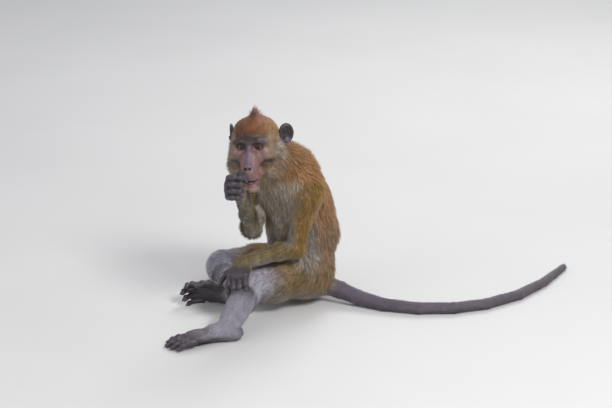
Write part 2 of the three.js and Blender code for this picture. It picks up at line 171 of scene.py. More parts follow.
UP = vec(0, 0, 1)
DOWN = vec(0, 0, -1)
trunk = Frame(
    vec(0, 0, 0),
    vec(-np.cos(rad(TRUNK_TURN)), -np.sin(rad(TRUNK_TURN)), 0),
    vec(np.sin(rad(TRUNK_TURN)), -np.cos(rad(TRUNK_TURN)), 0),
    UP,
)
level = vec(-np.sin(rad(HEAD_TURN)), -np.cos(rad(HEAD_TURN)), 0)
head_forward = level * np.cos(rad(HEAD_LIFT)) + UP * np.sin(rad(HEAD_LIFT))
head_side = np.cross(UP, level)
head_over = np.cross(head_forward, head_side)
head_left = head_side * np.cos(rad(HEAD_ROLL)) + head_over * np.sin(rad(HEAD_ROLL))
head = Frame(vec(-96, -104, 291), head_forward, head_left, np.cross(head_forward, head_left))
H = head.at

SPINE = dict(
    pelvis=vec(-16, 2, 52), belly=vec(-14, -4, 112), chest=vec(-24, -12, 165), back=vec(-36, -22, 207),
)
NECK_BASE = vec(-44, -32, 228)
ARMS = dict(
    left=dict(shoulder=vec(-9, -62, 206), elbow=vec(-25, -68, 115), wrist=vec(-108, -89, 94)),
    right=dict(shoulder=vec(-64, 14, 208), elbow=vec(-94, -60, 144), wrist=vec(-111, -129, 233)),
)
LEGS = dict(
    left=dict(hip=vec(-6, -22, 56), knee=vec(-98, -80, 55), ankle=vec(-131, -181, 21)),
    right=dict(hip=vec(-30, 32, 50), knee=vec(-142, 70, 27), ankle=vec(-124, -36, 22)),
)
TAIL_PATH = [
    vec(14, -4, 28), vec(42, -20, 23), vec(70, -34, 16), vec(112, -56, 11.6), vec(166, -70, 10.6),
    vec(220, -68, 10), vec(274, -50, 9.6), vec(328, -10, 9), vec(372, 46, 8.2), vec(410, 118, 6.6),
]


# ---- distance fields
def round_cone(p, a, ra, b, rb):
    """A ball at each end and the cone that touches both."""
    axis = b - a
    l2 = axis @ axis
    rr = ra - rb
    a2 = l2 - rr * rr
    pa = (p - a.astype(F)).astype(F)
    y = pa @ axis.astype(F)
    z = y - l2
    across = pa * F(l2) - y[:, None] * axis.astype(F)
    x2 = np.einsum("ij,ij->i", across, across)
    y2 = y * y * l2
    z2 = z * z * l2
    k = np.sign(rr) * rr * rr * x2
    side = (np.sqrt(x2 * a2 / l2) + y * rr) / l2 - ra
    tip = np.sqrt(x2 + z2) / l2 - rb
    base = np.sqrt(x2 + y2) / l2 - ra
    return np.where(np.sign(z) * a2 * z2 > k, tip, np.where(np.sign(y) * a2 * y2 < k, base, side))


def ellipsoid(p, frame, centre, radii):
    axes = np.stack([frame.f, frame.l, frame.u], axis=1)
    radii = np.array(radii, dtype=F)
    d = ((p - centre.astype(F)).astype(F) @ axes.astype(F)) / radii
    near = norm(d, axis=1)
    steep = norm(d / radii, axis=1)
    return near * (near - 1) / np.maximum(steep, 1e-9)


def ball(p, centre, r):
    return norm((p - centre.astype(F)).astype(F), axis=1) - F(r)


def smooth_min(a, b, k):
    h = np.maximum(k - np.abs(a - b), 0) / k
    return np.minimum(a, b) - h * h * k / 4


def smooth_max(a, b, k):
    return -smooth_min(-a, -b, k)


def union(k, fields):
    result = fields[0]
    for field in fields[1:]:
        result = smooth_min(result, field, k)
    return result


def chain(p, points, radii, k):
    links = range(len(points) - 1)
    return union(k, [round_cone(p, points[i], radii[i], points[i + 1], radii[i + 1]) for i in links])


def joined(p, a, b, place, joint):
    """Two fields with the joint's fillet near its place, which fades to a plain crease away from it."""
    away = norm(p - place.astype(F), axis=1) / FILLET_REACH[joint]
    fade = 1 - smooth_step(away, 0.45, 1)
    return smooth_min(a, b, np.maximum(FILLET[joint] * fade, 1))


def segment(p, a, b):
    """How far along a bone each point lies, from 0 to 1, and its distance from the bone."""
    t = np.clip((p - a) @ (b - a) / ((b - a) @ (b - a)), 0, 1)
    return t, norm(p - a - t[:, None] * (b - a), axis=1)


# ---- hands and feet
class Digit:
    """A finger or toe: it runs along `along` and bends towards `curl` by each angle in turn."""

    def __init__(self, root, along, curl, lengths, bends, radii):
        self.points = [root]
        self.radii = [r - BARE for r in radii]
        self.ways = []
        turn = 0
        for length, bend in zip(lengths, bends):
            turn += rad(bend)
            way = along * np.cos(turn) + curl * np.sin(turn)
            self.ways.append(way)
            self.points.append(self.points[-1] + way * length)
        # away from the curl at the tip, where the nail lies
        self.back = unit(along * np.sin(turn) - curl * np.cos(turn))

    def field(self, p):
        whole = chain(p, self.points, self.radii, 1.5)
        for joint, r in zip(self.points[1:3], self.radii[1:3]):
            whole = smooth_min(whole, ball(p, joint + self.back * 0.5, r + 0.35), 2)
        pad = ball(p, mix(self.points[2], self.points[3], 0.75) - self.back * 0.9, self.radii[3] * 0.95)
        return smooth_min(whole, pad, 2)
        return smooth_min(whole, pad, 2)


def side_digit(frame, root, pose, size):
    """A thumb or a big toe."""
    along = unit(frame.turned(*pose["along"]))
    curl = unit(frame.turned(*pose["curl"]))
    return Digit(frame.at(*root), along, curl, size["lengths"], pose["bends"], size["radii"])


class Hand:
    """A palm with four fingers and a thumb. `palmar` is the side of `along` x `across` the palm faces."""

    def __init__(self, wrist, along, across, palmar, palm, spread, bends, thumb):
        w = unit(across - along * (across @ along))
        self.frame = Frame(wrist, along, w, np.cross(along, w) * palmar)
        self.wrist = wrist
        self.palm = palm
        self.spread = spread
        at = self.frame.at
        self.roots = [at(palm - abs(i - 1.2) * 1.6, (i - 1.5) * spread, 0) for i in range(4)]
        self.digits = []
        for i, lengths in enumerate(FINGERS):
            lean = unit(self.frame.turned(1, (i - 1.5) * 0.07, 0))
            self.digits.append(Digit(self.roots[i], lean, self.frame.u, lengths, bends, FINGER_R))
        self.digits.append(side_digit(self.frame, (8, -12, 4), thumb, THUMB))

    def field(self, p):
        at = self.frame.at
        palm = self.palm
        pad = [palm * 0.72 - BARE, self.spread * 1.5 + 5 - BARE, 9 - BARE]
        parts = [
            ellipsoid(p, self.frame, at(palm * 0.55, 0, 1), pad),
            round_cone(p, self.wrist, 9.5, at(palm * 0.4, 0, 0), 10.5),
        ]
        parts += [round_cone(p, at(6, 0, 0), 7, root, 5.2) for root in self.roots]
        body = union(5, parts)
        for digit in self.digits:
            body = smooth_min(body, digit.field(p), 1.0)
        return body


class Foot:
    """A foot from heel to toes, `sole` being the way its sole faces, with four toes and a big toe."""

    def __init__(self, ankle, heel, along, across, sole, length, bends, big):
        w = unit(across - along * (across @ along))
        self.frame = Frame(heel, along, w, -sole)
        self.ankle = ankle
        self.length = length
        at = self.frame.at
        self.digits = []
        for i, lengths in enumerate(TOES):
            root = at(length - abs(i - 1) * 2.4, (i - 1.2) * 8.6, 3)
            lean = unit(self.frame.turned(1, (i - 1.2) * 0.1, 0))
            self.digits.append(Digit(root, lean, sole, lengths, bends, TOE_R))
        self.digits.append(side_digit(self.frame, (length * 0.52, -11, 1), big, BIG_TOE))

    def field(self, p):
        at = self.frame.at
        length = self.length
        ankle = self.ankle
        parts = [
            round_cone(p, ankle, 13, at(2, 0, 3), 11.3),
            round_cone(p, at(0, 0, 1), 11, at(length * 0.5, 0, 7), 11.3),
            round_cone(p, ankle, 13, at(length * 0.45, 0, 8), 10.6),
            ellipsoid(p, self.frame, at(length * 0.78, -1, 4.5), [23, 18, 9.6]),
        ]
        body = union(8, parts)
        for digit in self.digits:
            body = smooth_min(body, digit.field(p), 1.8)
        return body


HANDS = dict(
    left=Hand(
        wrist=ARMS["left"]["wrist"], along=unit(vec(-0.3, -0.86, -0.4)), across=vec(1, 0.05, 0.25), palmar=-1,
        palm=29, spread=8.8, bends=[45, 20, 14],
        thumb=dict(along=[0.55, -0.75, 0.3], curl=[0.4, 0.2, 0.9], bends=[0, 20, 15]),
    ),
    right=Hand(
        wrist=ARMS["right"]["wrist"], along=unit(vec(-0.6, -0.74, 0.3)), across=vec(0.05, -0.2, -0.97),
        palmar=1, palm=30, spread=9.6, bends=[58, 62, 52],
        thumb=dict(along=[0.55, -0.6, 0.5], curl=[0.16, 0.6, 0.72], bends=[0, 75, 35]),
    ),
)
FEET = dict(
    left=Foot(
        ankle=LEGS["left"]["ankle"], heel=vec(-120, -178, 11), along=unit(vec(-0.94, -0.34, 0)),
        across=vec(0.34, -0.94, 0), sole=vec(0, 0, -1), length=74, bends=[4, 12, 14],
        big=dict(along=[0.82, -0.55, -0.05], curl=[0.3, 0.3, -0.9], bends=[0, 14, 10]),
    ),
    right=Foot(
        ankle=LEGS["right"]["ankle"], heel=vec(-110, -44, 15), along=unit(vec(-0.96, 0.27, 0.08)),
        across=vec(0, 0, -1), sole=unit(vec(-0.27, -0.96, -0.08)), length=72, bends=[22, 34, 30],
        big=dict(along=[0.85, -0.42, -0.3], curl=[0.25, 0.55, -0.8], bends=[0, 30, 25]),
    ),
)
LIMBS = (*HANDS.values(), *FEET.values())


# ---- head
def eye_centre(s):
    return H(-EYE_R, EYE_HALF_GAP * s, 0)


def ear_frame(s):
    turn = rad(EAR_TURN[s])
    out = head.turned(-np.sin(turn), s * np.cos(turn), 0)
    face = head.turned(np.cos(turn), s * np.sin(turn), 0)
    return Frame(H(-49, 39.5 * s, 8), face, out, head.u)


def ear_bowl(p, s):
    e = ear_frame(s)
    centre, radii = EAR_BOWL
    return ellipsoid(p, e, e.at(*centre), radii)


def ear_field(p, s):
    p = p.astype(F)
    e = ear_frame(s)
    disc = ellipsoid(p, e, e.at(0, 8, 1), [4, 12.4, 15.8])
    shell = smooth_max(disc, -ear_bowl(p, s), 1.6)
    ridge = round_cone(p, e.at(1, 2, -6), 1.9, e.at(1.6, 6.5, 8), 1.5)  # the fold inside the bowl
    tragus = round_cone(p, e.at(2, -1.5, -5), 2.6, e.at(3, 1.5, -3), 2)
    return union(1.5, [shell, ridge, tragus])


def lid_opening(q):
    """An almond in front of one eye: q is forward, outward and up from the pupil's place."""
    across = q[:, 1]
    up = q[:, 2] - LID_TILT * across
    above = (LID_HALF_WIDTH**2 + LID_UPPER**2) / (2 * LID_UPPER)
    below = (LID_HALF_WIDTH**2 + LID_LOWER**2) / (2 * LID_LOWER)
    upper = np.hypot(across, up + (above - LID_UPPER)) - above
    lower = np.hypot(across, up - (below - LID_LOWER)) - below
    return np.maximum(np.maximum(upper, lower), -7 - q[:, 0])


def above_mouth(q):
    """How far a point of the head lies above the middle of the mouth's slit."""
    return q[:, 2] - (MOUTH_U + MOUTH_CURVE * q[:, 1] ** 2)


def head_field(p):
    """The skin of the head, without the ears. Places are forward, left and up from between the eyes."""
    p = p.astype(F)

    def lump(place, radii):
        return ellipsoid(p, head, H(*place), radii)

    def rod(a, ra, b, rb):
        return round_cone(p, H(*a), ra, H(*b), rb)

    skull = lump((-43, 0, 4.5), [42, 36, 31.5])
    brow_line = [H(-5, -24, 5.5), H(1.5, -14, 7.8), H(1, 0, 7), H(1.5, 14, 7.8), H(-5, 24, 5.5)]
    brow = chain(p, brow_line, [4.6, 4.8, 4.6, 4.8, 4.6], 3)
    forehead = lump((-18, 0, 6), [17, 24, 17])
    cheeks = [lump((-13, 20 * s, -13), [16, 14, 15]) for s in SIGNS]
    jowls = [lump((-32, 22 * s, -28), [23, 14, 28]) for s in SIGNS]
    muzzle = rod((-2, 0, -16), 16.5, (17, 0, -36), 12)
    upper_lip = lump((13, 0, -43.5), [11.8, 14.6, 8])
    bridge = rod((2.5, 0, 2), 3.6, (22, 0, -24), 4.2)
    nose = lump((24.2, 0, -25.6), [4.8, 6.2, 4.4])
    jaw = rod((-22, 0, -38), 15, (4, 0, -57), 10)
    lower_lip = lump((9.5, 0, -57.5), [9.2, 11, 4.6])
    chin = lump((7.5, 0, -62), [11.2, 11.6, 8.2])
    whole = union(10, [skull, forehead, *cheeks, *jowls, jaw])
    whole = union(6, [whole, brow, muzzle])
    whole = union(4, [whole, upper_lip, lower_lip, bridge, chin])
    whole = smooth_min(whole, nose, 2.5)
    for s in SIGNS:
        whole = smooth_min(whole, ball(p, H(22.8, 4.5 * s, -27.6), 2.6), 1.6)
    q = head.local(p)
    for s in SIGNS:
        from_pupil = q - np.array([0, EYE_HALF_GAP * s, 0])
        from_pupil[:, 1] *= s
        hollow = lump((7, EYE_HALF_GAP * s, -1), [8, 9.5, 7.5])
        nostril = rod((30, 1.8 * s, -27.6), 1.1, (23.5, 4.6 * s, -29.6), 1.3)
        whole = smooth_max(whole, -hollow, 5)
        whole = smooth_min(whole, ball(p, eye_centre(s), EYE_R + 1.5), 2.2)
        whole = smooth_max(whole, -lid_opening(from_pupil), 1.1)
        whole = smooth_max(whole, -ball(p, eye_centre(s), EYE_R + 0.25), 0.5)
        whole = smooth_max(whole, -nostril, 1.4)
    # the mouth: a slit round the muzzle, open in front
    gape = 0.5 + 2.1 * np.exp(-((q[:, 1] / 8.5) ** 2)) * smooth_step(q[:, 0], 6, 18)
    slit = np.maximum(np.abs(above_mouth(q)) - gape, np.maximum(2 - q[:, 0], np.abs(q[:, 1]) - 18))
    whole = smooth_max(whole, -slit, 1.6)
    tongue = lump((5, 0, MOUTH_U), [8.5, 12, 6])
    return smooth_min(whole, tongue, 1)


# ---- body
def trunk_field(p):
    t = COAT["trunk"]
    depth = dict(pelvis=(t, t, COAT["seat"]))
    parts = [ellipsoid(p, trunk, SPINE[n], np.subtract(r, depth.get(n, t))) for n, r in TRUNK_R.items()]
    return union(FILLET["trunk"], parts)


def neck_field(p):
    t = COAT["neck"]
    return round_cone(p, NECK_BASE, NECK_R[0] - t, H(-48, 0, -12), NECK_R[1] - t)


def limb_bone(p, a, b, swell, radii, coats):
    """A round limb bone, thickest `swell` of the way along it, with the coat's depth taken off."""
    return chain(p, [a, mix(a, b, swell), b], [r - COAT[c] for r, c in zip(radii, coats)], 6)


def arm_field(p, side):
    a = ARMS[side]
    upper = limb_bone(p, a["shoulder"], a["elbow"], 0.5, HUMERUS_R, ("arm", "arm", "forearm"))
    lower = limb_bone(p, a["elbow"], a["wrist"], 0.3, FOREARM_R, ("forearm", "forearm", "wrist"))
    return smooth_min(upper, lower, 8)


def leg_field(p, side):
    g = LEGS[side]
    upper = limb_bone(p, g["hip"], g["knee"], 0.5, THIGH_R, ("thigh", "thigh", "knee"))
    lower = limb_bone(p, g["knee"], g["ankle"], 0.3, SHIN_R, ("knee", "shin", "ankle"))
    return smooth_min(upper, lower, 10)


def tail_field(p):
    return chain(p, TAIL_PATH, [r - COAT["tail"] for r in TAIL_R], 2)


# Each region's field, and how far outside it the region still bends the skin.
REGIONS = dict(trunk=(trunk_field, 32), neck=(neck_field, 30), head=(head_field, 14), tail=(tail_field, 16))
for side, sign in zip(SIDES, SIGNS):
    REGIONS["ear_" + side] = (partial(ear_field, s=sign), 4)
    REGIONS["leg_" + side] = (partial(leg_field, side=side), 30)
    REGIONS["arm_" + side] = (partial(arm_field, side=side), 24)
    REGIONS["hand_" + side] = (HANDS[side].field, 4)
    REGIONS["foot_" + side] = (FEET[side].field, 5)
FAR = F(1000)


def blended(p, r):
    """The skin's field from its regions' fields."""
    whole = smooth_min(r["trunk"], r["neck"], FILLET["neck"])
    whole = smooth_min(whole, r["head"], FILLET["head"])
    for s in SIDES:
        whole = smooth_min(whole, r["ear_" + s], FILLET["ear"])
    whole = joined(p, whole, r["tail"], TAIL_PATH[0], "tail")
    for s in SIDES:
        leg = smooth_min(r["leg_" + s], r["foot_" + s], FILLET["foot"])
        arm = smooth_min(r["arm_" + s], r["hand_" + s], FILLET["hand"])
        whole = joined(p, whole, leg, LEGS[s]["hip"], "hip")
        whole = joined(p, whole, arm, ARMS[s]["shoulder"], "shoulder")
    return np.maximum(whole, FLOOR_FLAT + 0.3 - p[:, 2]).astype(F)


def region_fields(p):
    return {name: field(p) for name, (field, reach) in REGIONS.items()}


CUBE = 16  # the side of the cubes that points are taken in
CHUNK = 20000  # points for each call of a worker
WORKERS = 4


def skin_field(p):
    """The skin's field at points, which are taken in cubes so that far regions are left out of each."""
    p = np.asarray(p, dtype=F)
    cubes, where = np.unique(np.floor(p / CUBE).astype(int), axis=0, return_inverse=True)
    middles = region_fields(((cubes + 0.5) * CUBE).astype(F))
    nearest = np.min(list(middles.values()), axis=0)
    result = np.empty(len(p), dtype=F)
    order = np.argsort(where, kind="stable")

    def work(some):
        q = p[some]
        cube_of = where[some]
        values = {}
        for name, (field, reach) in REGIONS.items():
            close = (middles[name] < nearest + reach + CUBE * 1.75)[cube_of]
            value = np.full(len(q), FAR)
            if close.any():
                value[close] = field(q[close])
            values[name] = value
        result[some] = blended(q, values)

    with ThreadPoolExecutor(WORKERS) as pool:
        list(pool.map(work, np.array_split(order, max(1, len(order) // CHUNK))))
    return result


# ---- skin mesh
VOXEL = 1.8
BLOCK = 8  # voxels along each side of a block
BAND = 3 * VOXEL  # how far from the surface the grid holds distances
LOW = vec(-262, -262, -4)
HIGH = vec(424, 136, 366)


def every_index(counts):
    return np.stack(np.meshgrid(*[np.arange(n) for n in counts], indexing="ij"), -1).reshape(-1, 3)


def grid_of(field):
    """A level-set grid of the field: blocks near the surface are sampled, the rest are filled."""
    step = VOXEL * BLOCK
    blocks = every_index(np.ceil((HIGH - LOW) / step).astype(int))
    middle = field(LOW + (blocks + 0.5) * step)
    reach = step * 0.87 + BAND
    grid = openvdb.FloatGrid(BAND)
    inner = blocks[middle < -reach]
    near = blocks[np.abs(middle) <= reach]
    points = (LOW + (near[:, None, :] * BLOCK + every_index([BLOCK] * 3)) * VOXEL).reshape(-1, 3)
    values = field(points).reshape(-1, BLOCK, BLOCK, BLOCK)
    filled = np.full((len(inner), BLOCK, BLOCK, BLOCK), -BAND, dtype=F)
    for block, value in (*zip(inner, filled), *zip(near, values)):
        grid.copyFromArray(value, ijk=tuple(int(i) for i in block * BLOCK))
    return grid


def skin_surface():
    points, quads = grid_of(skin_field).convertToQuads(isovalue=0.0)
    return points * VOXEL + LOW, quads


low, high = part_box("eye_left")
OFFSET = (np.array(low) + np.array(high)) / 2 / MM - eye_centre(1)


def to_frame(points):
    """From the pose's millimetres to the CAD model's metres."""
    return (np.asarray(points) + OFFSET) * MM


def to_pose(points):
    """From the CAD model's metres back to the pose's millimetres."""
    return np.asarray(points) / MM - OFFSET


def read(items, key, width, kind=F):
    """One value or vector for each item of a mesh, as an array."""
    flat = np.empty(len(items) * width, dtype=kind)
    items.foreach_get(key, flat)
    return flat.reshape(-1, width) if width > 1 else flat


def vertices_of(mesh):
    return read(mesh.vertices, "co", 3)


def normals_of(mesh):
    return read(mesh.vertices, "normal", 3)


def face_centres(mesh):
    return to_pose(read(mesh.polygons, "center", 3))


def smooth_shaded(mesh):
    mesh.polygons.foreach_set("use_smooth", np.ones(len(mesh.polygons), dtype=bool))


def new_mesh(name, verts, faces):
    """A mesh from points in the pose's millimetres and faces that all have the same number of sides."""
    verts = np.array(verts)
    verts[:, 2] = np.maximum(verts[:, 2], FLOOR_FLAT + 0.05)
    faces = np.asarray(faces, dtype=np.int32)
    count, sides = faces.shape
    mesh = bpy.data.meshes.new(name)
    mesh.vertices.add(len(verts))
    mesh.vertices.foreach_set("co", to_frame(verts).astype(F).ravel())
    mesh.loops.add(count * sides)
    mesh.loops.foreach_set("vertex_index", faces.ravel())
    mesh.polygons.add(count)
    mesh.polygons.foreach_set("loop_start", np.arange(0, count * sides, sides, dtype=np.int32))
    smooth_shaded(mesh)
    mesh.update(calc_edges=True)
    mesh.validate()
    piece = bpy.data.objects.new(name, mesh)
    bpy.context.scene.collection.objects.link(piece)
    return piece


# ---- finer skin where the shape is fine
SLOPE_STEP = 0.15
MOVES = 2  # how often each point is moved towards the surface


def project(verts):
    """Moves points onto the skin's surface along the field's slope."""
    h = F(SLOPE_STEP)
    for _ in range(MOVES):
        offsets = np.concatenate([np.zeros((1, 3)), np.eye(3) * h, -np.eye(3) * h]).astype(F)
        d = skin_field((verts[None] + offsets[:, None]).reshape(-1, 3)).reshape(7, -1)
        slope = ((d[1:4] - d[4:7]) / (2 * h)).T
        steep = np.maximum((slope**2).sum(1), 0.25)
        move = slope * (d[0] / steep)[:, None]
        verts = verts - np.clip(move, -1, 1)
    return verts


def near_digits(p, reach):
    close = np.zeros(len(p), dtype=bool)
    for limb in LIMBS:
        for digit in limb.digits:
            for a, b in zip(digit.points[:-1], digit.points[1:]):
                close |= segment(p, a, b)[1] < reach
    return close


def fine_places(p):
    """True where the skin is bare and shows small forms: the face, the ears and the digits."""
    q = head.local(p)
    fine = (q[:, 0] > -14) & (np.abs(q[:, 1]) < 30) & (q[:, 2] > -68) & (q[:, 2] < 16)
    for s in SIGNS:
        fine |= norm(p - ear_frame(s).at(2, 8, 1), axis=1) < 18
    return fine | near_digits(p, 7)


def finest_places(p):
    """True round the eyes, the nostrils and the mouth."""
    q = head.local(p)
    eyes = (np.hypot(np.abs(q[:, 1]) - EYE_HALF_GAP, q[:, 2] * 1.3) < 10) & (q[:, 0] > -9)
    mouth = (np.abs(q[:, 1]) < 16) & (q[:, 2] < -22) & (q[:, 2] > -58) & (q[:, 0] > 8)
    return eyes | mouth


def refined(piece, chosen_faces):
    bm = bmesh.new()
    bm.from_mesh(piece.data)
    bm.faces.ensure_lookup_table()
    edges = {edge for i in chosen_faces for edge in bm.faces[i].edges}
    bmesh.ops.subdivide_edges(bm, edges=list(edges), cuts=1, use_grid_fill=True)
    bm.to_mesh(piece.data)
    bm.free()


def make_skin():
    verts, quads = skin_surface()
    skin = new_mesh("skin", verts, quads)
    for places in (fine_places, finest_places):
        refined(skin, np.nonzero(places(face_centres(skin.data)))[0])
    points = to_pose(vertices_of(skin.data))
    moved = fine_places(points)
    points[moved] = project(points[moved])
    skin.data.vertices.foreach_set("co", to_frame(points).astype(F).ravel())
    smooth_shaded(skin.data)
    skin.data.update()
    return skin


# ---- the lie of the coat
INNER_ARM = dict(left=vec(-0.9, 0.3, 0), right=vec(0.6, -0.8, 0))  # the way the pale side of each arm faces


def bone(name, a, b, r, hair, piece, lie=None, lift=18, inner=None):
    """`r` is the skin's radius, `hair` the tufts' length at both ends, `lift` how steeply they stand."""
    lie = unit(b - a) if lie is None else unit(lie)
    return dict(name=name, a=a, b=b, r=r, hair=hair, piece=piece, lie=lie, lift=lift, inner=inner)


def side_bones(side):
    """The bones of one arm and one leg, and their digits, which are bare."""
    a, g, hand, foot = ARMS[side], LEGS[side], HANDS[side], FEET[side]
    arm, leg = "coat_arm_" + side, "coat_leg_" + side
    forearm_lie = unit(a["wrist"] - a["elbow"]) + DOWN * 0.45
    thigh_lie = g["knee"] - g["hip"] + DOWN * 40
    palm_end = hand.frame.at(hand.palm * 0.8, 0, 0)
    heel, toes = foot.frame.at(4, 0, 4), foot.frame.at(foot.length * 0.9, 0, 4)
    bones = [
        bone("upper_arm", a["shoulder"], a["elbow"], 14, (20, 15), arm, inner=INNER_ARM[side]),
        bone("forearm", a["elbow"], a["wrist"], 10, (12, 8), arm, forearm_lie, 20),
        bone("hand", a["wrist"], palm_end, 9, (7, 4), arm, lift=14),
        bone("thigh", g["hip"], g["knee"], 28, (20, 14), leg, thigh_lie),
        bone("shin", g["knee"], g["ankle"], 19, (12, 8), leg, lift=18),
        bone("foot", heel, toes, 10, (6, 3), leg, lift=12),
    ]
    for digit in hand.digits + foot.digits:
        bones.append(bone("digit", digit.points[0], digit.points[3], 5, (0, 0), "bare"))
    return bones


def coat_bones():
    nape, back_top = NECK_BASE + vec(4, 4, 6), vec(-38, -25, 218)
    bones = [
        bone("rump", vec(2, 6, 34), vec(-8, 2, 60), 36, (14, 20), "coat_belly", DOWN + vec(0, 0.1, 0), 12),
        bone("belly", vec(-10, 0, 84), SPINE["belly"], 46, (22, 24), "coat_belly", DOWN),
        bone("chest", vec(-18, -8, 142), SPINE["chest"], 45, (24, 24), "coat_chest", DOWN),
        bone("back", SPINE["back"], back_top, 43, (24, 22), "coat_back", vec(0.25, 0.2, -1), 15),
        bone("neck", nape, H(-56, 0, -22), 32, (22, 15), "coat_neck", vec(0.4, 0.35, -0.85), 14),
        bone("head", H(-46, 0, 5), H(-14, 0, -16), 32, (11, 6), "coat_head"),
        bone("head", H(-14, 0, -18), H(10, 0, -46), 16, (6, 4), "coat_head"),
        bone("tail", TAIL_PATH[0], TAIL_PATH[2], 15, (9, 8), "coat_tail", lift=14),
    ]
    for i in range(2, len(TAIL_PATH) - 1):
        a, b = TAIL_PATH[i : i + 2]
        bones.append(bone("tail", a, b, TAIL_R[i] - 3, (8.5, 8), "coat_tail", lift=16))
    return bones + side_bones("left") + side_bones("right")


BONES = coat_bones()
BLEND = 5.0  # mm over which one bone's coat gives way to the next


def bone_shares(p):
    """Each bone's share in each point's coat, and how far along the bone the point lies."""
    along, away = np.array([segment(p, b["a"], b["b"]) for b in BONES]).swapaxes(0, 1)
    outside = away - np.array([b["r"] for b in BONES])[:, None]
    share = np.exp(-(outside - outside.min(0)) / BLEND)
    return share / share.sum(0), along


def shares_of(share, *names):
    return sum(share[i] for i, b in enumerate(BONES) if b["name"] in names)


def inside_face(q):
    """How many millimetres inside the edge of the bare face a point of the head lies."""
    side = np.abs(q[:, 1])
    top = 7 - 0.004 * (side - 13) ** 2
    fur_mark = 10 * bell(q[:, 2], -31, 9)  # the dark mark beside the mouth reaches into the face
    rim = 26 + 0.08 * q[:, 2] - fur_mark
    wide = np.minimum(rim - side, q[:, 0] + 18 + 0.2 * side)
    return np.minimum(np.minimum(wide, top - q[:, 2]), q[:, 2] + 62 + 0.6 * (q[:, 0] - 8))


def face_mask(q):
    """1 on the bare face, 0 in the fur round it."""
    return smooth_step(inside_face(q) + 1.5 * noise(q, 7, 61), -3, 4)


def head_lie(q):
    """The lie of the fur on the head in its own axes: back over the crown, out and down over the cheeks."""
    side = q[:, 1] / 34
    below = smooth_step(-q[:, 2], -2, 22)
    f = -1 + 0.25 * below
    left = 0.75 * side * (0.35 + below)
    up = 0.35 * (1 - below) - 1.05 * below
    return np.stack([f, left, up], axis=-1)


def noise(p, scale, seed):
    """Smooth noise from -1 to 1: a few waves in directions of their own."""
    r = np.random.default_rng(seed)
    total = np.zeros(len(p))
    for _ in range(7):
        way = unit(r.normal(size=3)) * r.uniform(0.6, 1.6) * 2 * np.pi / scale
        total += np.sin(p @ way + r.uniform(0, 6.28))
    return np.clip(total / 3.2, -1, 1)


# ---- colours of skin and coat
def srgb(r, g, b):
    c = np.array([r, g, b]) / 255
    return np.where(c <= 0.04045, c / 12.92, ((c + 0.055) / 1.055) ** 2.4)


def palette(**colours):
    return {name: srgb(*colour) for name, colour in colours.items()}


FUR = palette(
    back=(150, 106, 62), loin=(128, 102, 76), crown=(136, 86, 50), gold=(150, 116, 62), olive=(140, 114, 76),
    crest=(84, 48, 28), grey=(132, 125, 120), belly=(156, 146, 134), forearm=(128, 112, 78),
    pale=(176, 166, 156), shin=(174, 170, 182), hand=(66, 59, 64), tail=(116, 106, 120),
    tail_tip=(112, 104, 110), cheek=(150, 124, 102), whisker=(204, 190, 176), forehead=(46, 38, 35),
    stripe=(34, 25, 20), ochre=(134, 98, 62), throat=(166, 145, 118),
)
# dark gives the eyelids' dark rims, and painted shade under the brow, in the nostrils and in the ears' bowls;
# mouth is the mouth's red, darkened as painted shade inside the slit.
SKIN = palette(
    face=(124, 94, 90), bridge=(94, 82, 106), lips=(120, 84, 90), chin=(150, 122, 104), edge=(88, 68, 60),
    lid=(180, 156, 150), dark=(58, 45, 42), ear=(58, 50, 54), sole=(64, 58, 64), hand=(66, 59, 66),
    under=(150, 128, 124), mouth=(70, 34, 34), foot=(98, 90, 97), nail=(52, 46, 46),
)


def blend(base, colour, amount):
    """Rows of colour: the base, which may be one colour for all, moved towards the other by the amounts."""
    return base + (colour - base) * np.clip(amount, 0, 1)[:, None]


STREAK_STRETCH = vec(1, 1, 0.28)  # streaks of shade run down the coat


def torso_colour(p, behind, back):
    shoulders = smooth_step(p[:, 2], 175, 212)
    flank = bell(behind, -0.22, 0.25) * (1 - shoulders)
    flank = flank * (0.75 + 0.5 * noise(p * STREAK_STRETCH, 14, 51))
    upper = blend(FUR["loin"], FUR["back"], smooth_step(p[:, 2], 110, 215))
    torso = FUR["belly"] + (upper - FUR["belly"]) * back[:, None]
    return blend(torso, FUR["grey"], 0.85 * flank)


def bone_colour(b, p, normal, s, back):
    """The coat's colour at points on one bone, `s` of the way along it."""
    name = b["name"]
    down = -normal[:, 2]
    if name == "neck":
        throat = smooth_step(normal @ head.f, -0.1, 0.6)
        return blend(blend(FUR["olive"], FUR["throat"], throat), FUR["back"], back * 0.8)
    if name == "head":
        return head_fur_colour(p)
    if name == "upper_arm":
        return blend(FUR["gold"], FUR["belly"], smooth_step(normal @ b["inner"], -0.3, 0.5))
    if name == "forearm":
        outer = smooth_step(normal @ vec(0, -0.8, -0.6), 0.3, 0.95) * smooth_step(s, 0.5, 0.85)
        part = blend(FUR["forearm"], FUR["pale"], smooth_step(down, -0.1, 0.8) * 0.75)
        return blend(part, FUR["pale"], outer * 0.7)
    if name == "hand":
        return blend(FUR["forearm"], FUR["hand"], smooth_step(s, 0.55, 1))
    if name == "thigh":
        part = blend(FUR["olive"], FUR["shin"], smooth_step(s, 0.35, 0.9))
        return blend(part, FUR["pale"], smooth_step(down, 0.1, 0.8) * 0.7)
    if name == "tail":
        part = blend(FUR["tail"], FUR["tail_tip"], smooth_step(p[:, 0], 60, 400))
        return blend(part, FUR["olive"], 0.25 * (1 - smooth_step(p[:, 0], 20, 50)))
    return dict(shin=FUR["shin"], foot=FUR["shin"] * (1 - 0.18), digit=FUR["hand"])[name]


